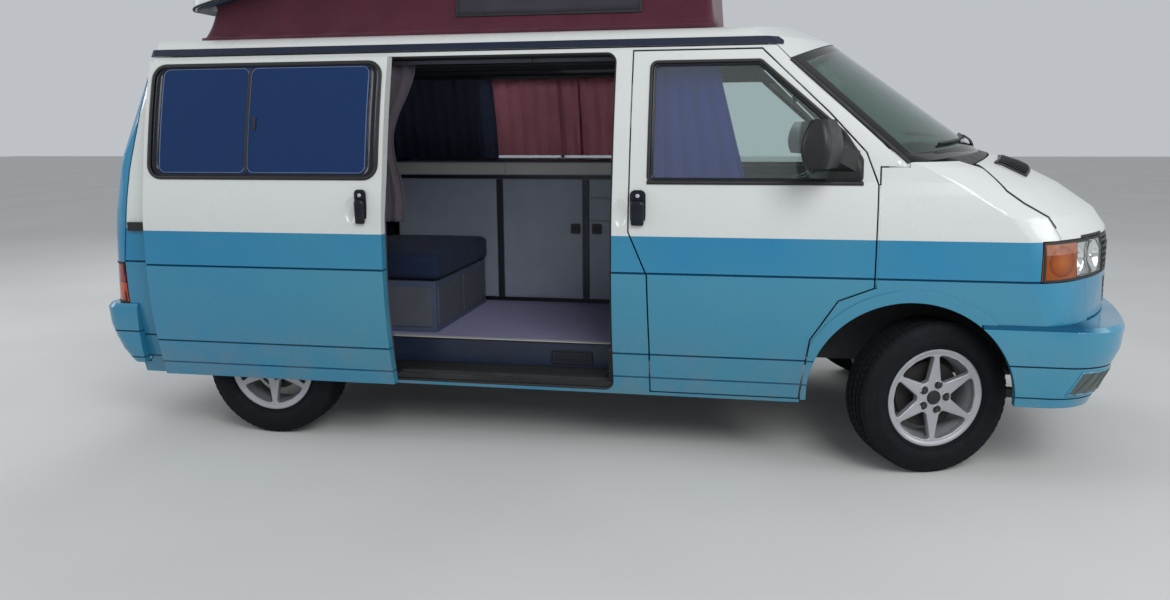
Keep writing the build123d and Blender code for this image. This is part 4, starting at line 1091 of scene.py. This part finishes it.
wiper("wiper_right", SCREEN, 1, (1.735, -0.10, 1.318), (-0.66, 1.352), (-0.08, 1.385), "body")
wiper("wiper_left", SCREEN, 1, (1.700, 0.50, 1.318), (0.00, 1.360), (0.56, 1.385), "body")
wiper("wiper_rear", REAR, -1, (-2.262, 0.0, 1.165), (-0.02, 1.250), (0.42, 1.262), "tailgate")


# Tailgate: window lip, grip above the plate, lock, and seals of the tail lamps

def on_tail(y, z):
    return cast(REAR, (-4, y, z), (1, 0, 0))


outline = oblong(-0.640, 0.640, 1.210, 1.680, 0.060)
lip = [on_tail(p.x * 0.998, 1.445 + (p.y - 1.445) * 0.996) for p in outline]
strip("tail_window_lip", lip, pad_section(0.018, 0.007), RUBBER, "tailgate")
grip = soft_box((0.020, 0.170, 0.022), 0.012)
point, normal = on_tail(0, 1.005)
grip.transform(Matrix.Translation(point + normal * 0.012))
add_piece("tail_grip", grip, body="tailgate")
barrel = [(0.016, 0.0), (0.016, 0.004), (0.011, 0.007), (AXIS, 0.007)]
turned("tail_lock", barrel, 24, [axis_along(*on_tail(0, 0.800))], CHROME, "tailgate", "alloy")

LAMP_TREE = surface("tail_lamps")
for name, way in SIDES:
    low, high = [], []
    for z, line in ((0.6285, low), (0.8125, high)):
        for i in range(25):
            line += ring_cast(LAMP_TREE, (-2.10, way * 0.70, z), 98 + 70 * i / 24, way, 1.2, 1.2)
    strip(f"tail_lamp_seal_{name}", low + high[::-1], pad_section(0.009, 0.003), RUBBER)

# Folded rear edge of each fender, which narrows the gap to the door; windscreen seals and pillar feet
PILLAR_FOOT = [(1.268, 1.2685), (1.350, 1.2685), (1.350, 1.283), (1.282, 1.344)]
for name, way in SIDES:
    bm = bmesh.new()
    heights = [0.787 + 0.4125 * i / 16 for i in range(17)]
    add_grid(bm, [places(on_skin([(x, z) for z in heights], way, -0.0009)) for x in (1.2338, 1.2425)])
    add_piece(f"fender_edge_{name}", bm, slot="paint_white", thick=0.0015)
for name, way in SIDES:
    pillar = on_skin([SCREEN_CORNERS[1].lerp(SCREEN_CORNERS[2], i / 24) for i in range(25)], way, -0.004)
    strip(f"screen_seal_{name}", pillar, pad_section(0.015, 0.003, 0.008), RUBBER, closed=False, smooth=50)
    bm = bmesh.new()
    bm.faces.new([bm.verts.new(p) for p in places(on_skin(PILLAR_FOOT, way, -0.004))])
    add_piece(f"pillar_foot_{name}", bm, slot="paint_white", thick=0.003)

# Rubber seal round the sliding door's opening
opening = oblong(-1.012, 0.157, 0.283, 1.747, 0.046)
strip("door_opening_seal", on_skin(opening, -1, -0.012), tube_section(0.011), RUBBER)

# Canvas of the pop-top, drawn in between its foot on the roof and the lid's lower edge

ROOF = surface("roof_panel", "roof_gutters")
LID_TURN = radians(14.6)
LID_REAR = (-1.863, 1.974)
CANVAS_X = (-1.862, 0.555)
CANVAS_Y = 0.646


def canvas_plan():
    """Points round the foot of the canvas, and the direction out from each."""
    outline = oblong(*CANVAS_X, -CANVAS_Y, CANVAS_Y, 0.05, 0.022)
    runs = [q - p for p, q in zip(outline[-1:] + outline[:-1], outline[1:] + outline[:1])]
    return [(p, Vector((run.y, -run.x)).normalized()) for p, run in zip(outline, runs)]


def canvas_point(p, away, t, lift=0.0):
    """Point of the canvas at a share t of its height."""
    foot = cast(ROOF, (p.x, p.y, 3.0), (0, 0, -1))[0]
    foot_z = foot.z if foot is not None and foot.z > 1.80 else 1.85
    x = p.x + 0.096 * max(0.0, (-1.60 - p.x) / 0.262) * t
    top_z = LID_REAR[1] + (x - LID_REAR[0]) * tan(LID_TURN) + 0.026
    tall = top_z - foot_z
    z = foot_z + 0.001 + tall * t
    sag = 0.030 * min(tall / 0.4, 1) * sin(pi * t) ** 0.8
    coarse = noise.noise(Vector((x * 5.5, p.y * 5.5, z * 2.0))) * 0.010
    fine = noise.noise(Vector((x * 17, p.y * 17, z * 6 + 3))) * 0.004
    flare = 0.012 * max(0.0, 1 - t / 0.06) ** 2
    wave = 0.006 * sin(x * 31 + p.y * 29) * max(0.0, 1 - t / 0.12)
    out = -sag + (coarse + fine) * sin(pi * min(t * 1.1 + 0.03, 1)) + flare + wave + lift
    return Vector((x + away.x * out, p.y + away.y * out, z))


def sheet(name, rows, material, slot="canvas", closed=False, thick=0.0014):
    """Cloth over rows of points."""
    bm = bmesh.new()
    add_grid(bm, rows, closed)
    area = sum(face.calc_area() for face in bm.faces)
    piece = bake(add_piece(name, bm, material, slot=slot, smooth=80, thick=thick))
    return piece


plan = canvas_plan()
walls = [[canvas_point(p, away, i / 30) for p, away in plan] for i in range(31)]
canvas = sheet("canvas_walls", walls, MATERIALS["canvas"], closed=True)
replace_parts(canvas, "canvas")
canvas_pieces = [canvas]

# Window flaps sewn on the canvas, with a zip along their edges, and the welt at its foot
FLAP_X = (-0.590, 0.238)
for name, way in SIDES:
    rows = [[] for _ in range(17)]
    for j in range(41):
        x = FLAP_X[0] + (FLAP_X[1] - FLAP_X[0]) * j / 40
        low = 0.075 / (0.124 + (x - LID_REAR[0]) * tan(LID_TURN))
        for i, row in enumerate(rows):
            t = low + (0.93 - low) * i / 16
            row.append(canvas_point(Vector((x, way * CANVAS_Y)), Vector((0, way)), t, 0.004))
    canvas_pieces.append(sheet(f"canvas_flap_{name}", rows, GREY_MESH))
    border = facing(rim(rows), (0, way, 0))
    section = pad_section(0.012, 0.003)
    canvas_pieces.append(strip(f"canvas_zip_{name}", border, section, RUBBER, slot="canvas"))
foot = []
for p, away in plan:
    foot.append((canvas_point(p, away, 0.012, 0.002), Vector((away.x, away.y, 0.3)).normalized()))
canvas_pieces.append(strip("canvas_welt", foot, pad_section(0.016, 0.004), slot="canvas"))
for piece in canvas_pieces:
    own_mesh(piece)

# Lid: navy board under its rim, seal round its edge
LID_PLACE = at(LID_REAR[0], 0, LID_REAR[1]) @ Matrix.Rotation(-LID_TURN, 4, "Y")
LID_RADII = (0.070, 0.150, 0.150, 0.070)
bm = bmesh.new()
outer = oblong(0.010, 2.550, -0.712, 0.712, LID_RADII, parts=12)
inner = oblong(0.10, 2.46, -0.622, 0.622, 0.06, parts=12)
add_grid(bm, [[LID_PLACE @ Vector((p.x, p.y, -0.003)) for p in loop] for loop in (outer, inner)], closed=True)
add_piece("lid_board", bm, NAVY_TRIM, "roof_lid", "lid_shell", thick=0.006)
loop = oblong(0, 2.56, -0.722, 0.722, LID_RADII, 0.04)
loop = facing([LID_PLACE @ Vector((p.x, p.y, 0.004)) for p in loop], LID_PLACE.to_3x3() @ Vector((0, 0, 1)))
strip("lid_seal", loop, tube_section(0.006, 8), RUBBER, "roof_lid")

# Curtains

CURTAIN_TOP = 1.715
RAIL_Z = 1.722


def hung(
    name, way, foot, top, hem, material, folds, depth=0.020, inward=RAIL_INSET, tie=0.0, head=CURTAIN_TOP
):
    """Gathered curtain. Foot and top are its x at the hem and at the rail; tie draws its front edge in."""
    rows = []
    columns = max(int(folds * 14), 40)
    for i in range(41):
        t = i / 40
        z = hem + (head - hem) * t
        x0 = foot[0] + (top[0] - foot[0]) * t
        x1 = foot[1] + (top[1] - foot[1]) * t
        if tie:
            x1 -= sin(pi * min(max((t - 0.10) / 0.88, 0), 1)) ** 2 * tie * (x1 - x0)
        row = []
        for j in range(columns + 1):
            u = j / columns
            loose = 0.55 + 0.45 * noise.noise(Vector((u * 6, t * 1.5, way * 3)))
            fold = sin(2 * pi * folds * u + 0.7 * noise.noise(Vector((u * 3, t * 2, 5)))) * depth * loose
            x = x0 + (x1 - x0) * u + 0.25 * depth * sin(4 * pi * folds * u)
            row.append(Vector((x, way * (flank(max(z, 0.9))[0] - inward + fold), z)))
        rows.append(row)
    return sheet(name, rows, material, "curtain", thick=0.0012)


MAROON = MATERIALS["curtain"]
maroon = hung("curtain_maroon_rear", 1, (-0.845, -0.296), (-0.845, -0.296), 1.264, MAROON, 7)
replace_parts(maroon, "curtains")
hung("curtain_maroon_front", 1, (-0.306, 0.135), (-0.306, 0.135), 1.264, MAROON, 6, inward=0.098)
hung("curtain_dusk", 1, (-1.860, -0.815), (-1.860, -0.815), 1.246, DUSK_CLOTH, 15, inward=0.118)
hung("curtain_mauve", -1, (-1.075, -0.800), (-1.075, -0.775), 1.02, MAUVE_CLOTH, 5, 0.016, 0.085, 0.26)
hung("curtain_cab", -1, (0.305, 0.710), (0.305, 0.570), 1.195, BLUE_CLOTH, 5, 0.014, 0.080, head=1.712)
for name, way, x0, x1 in (("left", 1, -1.88, 0.15), ("right", -1, -1.10, 0.62)):
    bm = bmesh.new()
    half = flank(RAIL_Z)[0]
    y = way * (half - RAIL_INSET)
    line = facing([(x0 + (x1 - x0) * i / 10, y, RAIL_Z) for i in range(11)], (0, 0, 1))
    add_sweep(bm, line, [(-0.006, -0.008), (0.006, -0.008), (0.006, 0.008), (-0.006, 0.008)], closed=False)
    for x in (x0 + 0.02, (x0 + x1) / 2, x1 - 0.02):
        add_box(bm, x - 0.010, x + 0.010, *sorted((y, way * (half - 0.050))), 1.716, 1.728)
    add_piece(f"curtain_rail_{name}", bm, PANEL, slot="grey_laminate")

# Seats and cushions


def pad(name, size, corner, crown, place, material=None):
    bm = soft_box(size, corner, crown, 20)
    bm.transform(place)
    piece = add_piece(name, bm, material, slot="seat_fabric", smooth=70)
    return piece


BENCH_Y = -0.1375
BENCH_Z = 0.767
place = at(-1.040, BENCH_Y, BENCH_Z)
bench = pad("bench_seat", (0.291, 0.409, 0.062), 0.030, (0.006, 0.006, 0.016), place)
place = at(-1.410, BENCH_Y, 0.991)
pad("bench_back", (0.066, 0.409, 0.285), 0.030, (0.014, 0.006, 0.006), place)
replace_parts(bench, "bench_cushions")
bm = bmesh.new()
for dz in (-0.040, 0.040):
    outline = oblong(-1.327, -0.753, -0.5425, 0.2675, 0.028, 0.03)
    add_sweep(bm, facing([(p.x, p.y, BENCH_Z + dz) for p in outline], (0, 0, 1)), tube_section(0.0045, 6))
add_piece("bench_piping", bm, slot="seat_fabric")

for name, way in SIDES:
    y = way * 0.400
    rolls = ((-1, "in" if way > 0 else "out"), (1, "out" if way > 0 else "in"))
    seat = at(0.605, y, 0.865)
    cushion = pad(f"seat_cushion_{name}", (0.272, 0.185, 0.058), 0.034, (0.008, 0.004, 0.014), seat)
    for side, which in rolls:
        roll = at(0.605, y + side * 0.206, 0.872)
        pad(f"seat_roll_{name}_{which}", (0.268, 0.037, 0.060), 0.034, (0.004, 0.006, 0.008), roll)
    lean = at(0.302, y, 1.140) @ Matrix.Rotation(radians(-11.5), 4, "Y")
    pad(f"seat_back_{name}", (0.052, 0.170, 0.287), 0.036, (0.016, 0.004, 0.010), lean)
    for side, which in rolls:
        roll = lean @ at(0.014, side * 0.196, 0)
        pad(f"back_roll_{name}_{which}", (0.055, 0.037, 0.276), 0.034, (0.008, 0.006, 0.008), roll)
    top = at(0.211, y, 1.545) @ Matrix.Rotation(radians(-8), 4, "Y")
    plastic = MATERIALS["black_plastic"]
    pad(f"headrest_{name}", (0.044, 0.128, 0.076), 0.036, (0.010, 0.004, 0.006), top, plastic)
    if way < 0:
        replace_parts(cushion, "front_seats")
    bm = bmesh.new()
    for side in (-0.06, 0.06):
        post = facing([(0.243, y + side, 1.40), (0.228, y + side, 1.46), (0.214, y + side, 1.52)], (1, 0, 0))
        add_sweep(bm, post, tube_section(0.006), closed=False)
    add_piece(f"headrest_posts_{name}", bm, CHROME, slot="alloy")
    bm = bmesh.new()
    for z in (-0.12, 0.0, 0.12):
        line = facing([lean @ Vector((0.0655, -0.150 + 0.30 * j / 10, z)) for j in range(11)], (1, 0, 0))
        add_sweep(bm, line, tube_section(0.003, 6), closed=False)
    add_piece(f"seat_seams_{name}", bm, slot="seat_fabric")
    boxes(f"seat_pan_{name}", [(0.42, 0.80, y - 0.225, y + 0.225, 0.7975, 0.806)], bevel=0.002)

# Kitchen unit: edge strip, door and drawer fronts, trims, latches, lid over sink and hob

FACE_Y = 0.300
PANES = ((-1.286, -0.646), (-0.640, -0.024))
strips = [(x0, x1, 0.2845, 0.2885, 1.176, 1.238) for x0, x1 in ((-1.288, -0.645), (-0.641, -0.022))]
boxes("worktop_strip", strips, LIGHT_TRIM, "grey_laminate", 0.0015)
lids = []
for x0, x1 in PANES:
    lids += [(x0, x1, 0.292, 0.300, 1.2425, 1.2455), (x0, x1, 0.330, 0.760, 1.2425, 1.2490)]
boxes("worktop_lids", lids, PANEL, "grey_laminate", 0.0015)
boxes("worktop_upstand", [(-1.28, -0.03, 0.7725, 0.7790, 1.240, 1.250)], LIGHT_TRIM, "grey_laminate", 0.0015)
bm = bmesh.new()
for x0, x1, z0, z1 in (
    (-1.280, -0.702, 0.485, 1.146),
    (-0.659, -0.207, 0.485, 1.146),
    (-0.165, -0.026, 1.051, 1.146),
    (-0.165, -0.026, 0.924, 1.043),
    (-0.165, -0.026, 0.485, 0.916),
):
    add_board(bm, oblong(x0, x1, z0, z1, 0.006, 0.2), FACE_Y - 0.0045, 0.0055)
add_piece("unit_fronts", bm, slot="grey_laminate", bevel=0.0012)
trims = [(x - 0.0165, x + 0.0165, FACE_Y - 0.006, FACE_Y + 0.002, 0.479, 1.148) for x in (-0.6805, -0.186)]
trims.append((-1.284, -0.024, FACE_Y - 0.003, FACE_Y + 0.002, 1.150, 1.169))
trims.append((-1.268, -0.042, FACE_Y + 0.040, FACE_Y + 0.046, 0.4475, 0.478))
boxes("unit_trims", trims, DARK_TRIM, bevel=0.0012)
bm, knobs = bmesh.new(), bmesh.new()
KNOB = [(AXIS, -0.016), (0.0105, -0.016), (0.012, -0.014), (0.012, 0.0), (AXIS, 0.0)]
for x in (-0.244, -0.124):
    outline = oblong(x - 0.028, x + 0.028, 0.846, 0.904, 0.010, 0.2)
    add_board(bm, outline, FACE_Y - 0.0085, 0.0045)
    add_lathe(knobs, KNOB, 24, at(x - 0.010, FACE_Y - 0.008, 0.875))
    add_box(knobs, x + 0.008, x + 0.018, FACE_Y - 0.013, FACE_Y - 0.008, 0.856, 0.894)
add_piece("latch_plates", bm, bevel=0.001)
add_piece("latch_buttons", knobs, slot="steel", bevel=0.0008)

# Bench base: framed panels on its front and side
panels = [(-0.7715, -0.7655, y0, y1, 0.475, 0.672) for y0, y1 in ((-0.520, -0.150), (-0.130, 0.245))]
panels += [(x0, x1, -0.5505, -0.5445, 0.475, 0.672) for x0, x1 in ((-1.305, -1.060), (-1.040, -0.795))]
boxes("bench_panels", panels, PANEL, "grey_laminate", 0.002)

# Step: ribbed tread, riser cover with its vent, edge strip of the floor
tread = [(-0.955, 0.115, -0.766, -0.634, 0.3195, 0.3235)]
for index in range(9):
    y = -0.756 + 0.0145 * index
    tread.append((-0.945, 0.105, y - 0.0028, y + 0.0028, 0.3225, 0.3262))
boxes("step_tread", tread, bevel=0.0008)
boxes("step_riser", [(-0.955, 0.115, -0.6335, -0.6290, 0.326, 0.438)], NAVY_TRIM, bevel=0.001)
bm = bmesh.new()
for index in range(19):
    x = -0.166 + 0.0092 * index
    slot_outline = [(x, 0.350), (x + 0.0035, 0.350), (x + 0.0145, 0.398), (x + 0.0110, 0.398)]
    add_prism(bm, [(px, -0.6365, pz) for px, pz in slot_outline], (0, 0.004, 0))
for z in (0.366, 0.382):
    add_box(bm, -0.170, 0.014, -0.6372, -0.6340, z - 0.0015, z + 0.0015)
outline = oblong(-0.174, 0.018, 0.345, 0.403, 0.008, 0.2)
add_sweep(bm, facing([(p.x, -0.6340, p.y) for p in outline], (0, -1, 0)), pad_section(0.008, 0.005))
add_piece("step_vent", bm, RUBBER, smooth=30)
NOSING = [
    (-0.020, -0.001), (0.012, -0.001), (0.012, 0.003),
    (-0.018, 0.003), (-0.023, -0.012), (-0.020, -0.014),
]
edge = facing([(-0.955 + 1.07 * i / 10, -0.628, 0.4465) for i in range(11)], (0, 0, 1))
strip("floor_edge", edge, NOSING, LIGHT_TRIM, slot="alloy", closed=False, smooth=30)

# Inside linings: headliner round the hatch, trim under the roof's sides
liner = [(-1.90, 0.66, y0, y1, 1.778, 1.800) for y0, y1 in ((-0.640, -0.580), (0.580, 0.640))]
liner += [(x0, x1, -0.58, 0.58, 1.778, 1.800) for x0, x1 in ((-1.93, -1.77), (0.53, 0.66))]
boxes("headliner", liner, PANEL, "grey_laminate", 0.006)
side_trims = [(-1.95, 0.78, *sorted((way * 0.712, way * 0.734)), 1.744, 1.776) for _, way in SIDES]
boxes("roof_side_trim", side_trims, PANEL, "grey_laminate")

# Sun visors, and the mirror on its stalk under the roof's front edge
bm = bmesh.new()
for _, way in SIDES:
    outline = oblong(way * 0.380 - 0.205, way * 0.380 + 0.205, -0.145, 0.0, 0.03, 0.1)
    add_prism(bm, [(0.885 - 0.80 * p.y, p.x, 1.700 + 0.62 * p.y) for p in outline], (0.008, 0, 0.010))
add_piece("sun_visors", bm, LIGHT_TRIM, slot="grey_laminate", bevel=0.003)
bm = bmesh.new()
outline = oblong(-0.115, 0.115, -0.030, 0.030, 0.022, 0.1)
add_prism(bm, [(0.905, p.x, 1.575 + p.y) for p in outline], (0.022, 0, 0.003))
add_box(bm, 0.918, 0.930, -0.007, 0.007, 1.590, 1.690)
add_piece("cab_mirror", bm, bevel=0.003)

# Dashboard: hood over the dials, vents, dials
bm = bmesh.new()
HOOD = [(1.020, 1.178), (1.035, 1.262), (1.075, 1.292), (1.190, 1.262), (1.200, 1.240), (1.060, 1.160)]
add_prism(bm, [(x, 0.225, z) for x, z in HOOD], (0, 0.350, 0))
add_piece("dash_hood", bm, bevel=0.012, segments=3)
vents = []
for y in (-0.690, -0.140, 0.060, 0.660):
    vents += [(0.998, 1.010, y - 0.045, y + 0.045, z, z + 0.004) for z in (1.095, 1.107, 1.119, 1.131, 1.143)]
boxes("dash_vents", vents, RUBBER)
DIAL = [(0.050, 0.0), (0.050, 0.008), (0.045, 0.008), (0.045, 0.004), (AXIS, 0.004)]
sites = [at(1.029, y, 1.222) @ Matrix.Rotation(pi / 2, 4, "Z") for y in (0.330, 0.470)]
turned("dash_dials", DIAL, 32, sites, GLOSS_BLACK)

# Inner panels of the front doors, with armrest and winder
DOOR_CARD = [
    (0.340, 0.430), (0.940, 0.430), (1.060, 0.760), (1.195, 0.830),
    (1.195, 1.165), (0.262, 1.165), (0.262, 1.000), (0.340, 0.830),
]
for name, way in SIDES:
    body = f"door_{name}"
    bm = bmesh.new()
    add_plate(bm, places(on_skin(rounded(DOOR_CARD, 0.03), way, -0.0575)))
    add_piece(f"door_panel_{name}", bm, PANEL, body, "grey_laminate", thick=0.005)
    rest = soft_box((0.190, 0.024, 0.028), 0.020)
    rest.transform(at(0.640, way * 0.838, 0.960))
    add_piece(f"door_rest_{name}", rest, None, body)
    bm = bmesh.new()
    crank = at(0.930, way * 0.842, 0.760) @ Matrix.Rotation(0 if way < 0 else pi, 4, "Z")
    add_lathe(bm, [(0.020, -0.010), (0.020, 0.006), (0.012, 0.012), (AXIS, 0.013)], 20, crank)
    add_box(bm, 0.850, 0.936, *sorted((way * 0.830, way * 0.824)), 0.752, 0.768)
    add_piece(f"door_winder_{name}", bm, None, body, bevel=0.002)


# Studio: floor, lights and camera

# Name, place, target, size and power of each lamp
STUDIO_LAMPS = (
    ("key", (3.5, -6.5, 6.0), (0.3, 0, 1.0), 4.0, 330),
    ("fill", (-7.5, -2.2, 4.0), (-0.8, 0, 1.0), 3.0, 120),
    ("rim", (-3.0, 6.0, 5.0), (0, 0, 1.0), 4.0, 170),
    ("nose", (7.0, -2.0, 3.0), (2.0, 0, 0.8), 3.0, 90),
)


def stand(name, data):
    """Object that shows some data in the scene."""
    thing = bpy.data.objects.new(name, data)
    bpy.context.scene.collection.objects.link(thing)
    return thing


def studio():
    reach = 40.0
    mesh = bpy.data.meshes.new("studio_floor")
    corners = [(x, y, 0) for x, y in box_outline(-reach, reach, -reach, reach)]
    mesh.from_pydata(corners, [], [(0, 1, 2, 3)])
    s = Shader("studio_floor", Roughness=0.9)
    patches = s.ramp(s.noise(0.8, 2.0), 0.3, 0.7)
    s.set(s.bsdf, Base_Color=s.mix(patches, (0.55, 0.55, 0.54), (0.59, 0.59, 0.58)))
    mesh.materials.append(s.material)
    stand("studio_floor", mesh)

    world = bpy.data.worlds.new("studio")
    world.use_nodes = True
    background = world.node_tree.nodes["Background"]
    background.inputs["Color"].default_value = (0.86, 0.90, 0.95, 1)
    background.inputs["Strength"].default_value = 0.60
    bpy.context.scene.world = world

    for name, place, target, size, power in STUDIO_LAMPS:
        light = bpy.data.lights.new(name, "AREA")
        light.size = size
        light.energy = power
        lamp = stand(name, light)
        lamp.location = place
        lamp.rotation_euler = (Vector(target) - Vector(place)).to_track_quat("-Z", "Y").to_euler()


def camera():
    data = bpy.data.cameras.new("camera")
    data.sensor_width = 36
    data.lens = CAMERA_LENS
    level_run = cos(CAMERA_PITCH)
    ahead = Vector((sin(CAMERA_YAW) * level_run, cos(CAMERA_YAW) * level_run, sin(CAMERA_PITCH)))
    level = ahead.cross(Vector((0, 0, 1))).normalized()
    up = level.cross(ahead)
    right = level * cos(CAMERA_ROLL) + up * sin(CAMERA_ROLL)
    up = up * cos(CAMERA_ROLL) - level * sin(CAMERA_ROLL)
    eye = stand("camera", data)
    eye.matrix_world = Matrix.Translation(CAMERA_PLACE) @ Matrix((right, up, -ahead)).transposed().to_4x4()
    bpy.context.scene.camera = eye


studio()
camera()
bpy.context.scene.view_settings.view_transform = "Standard"
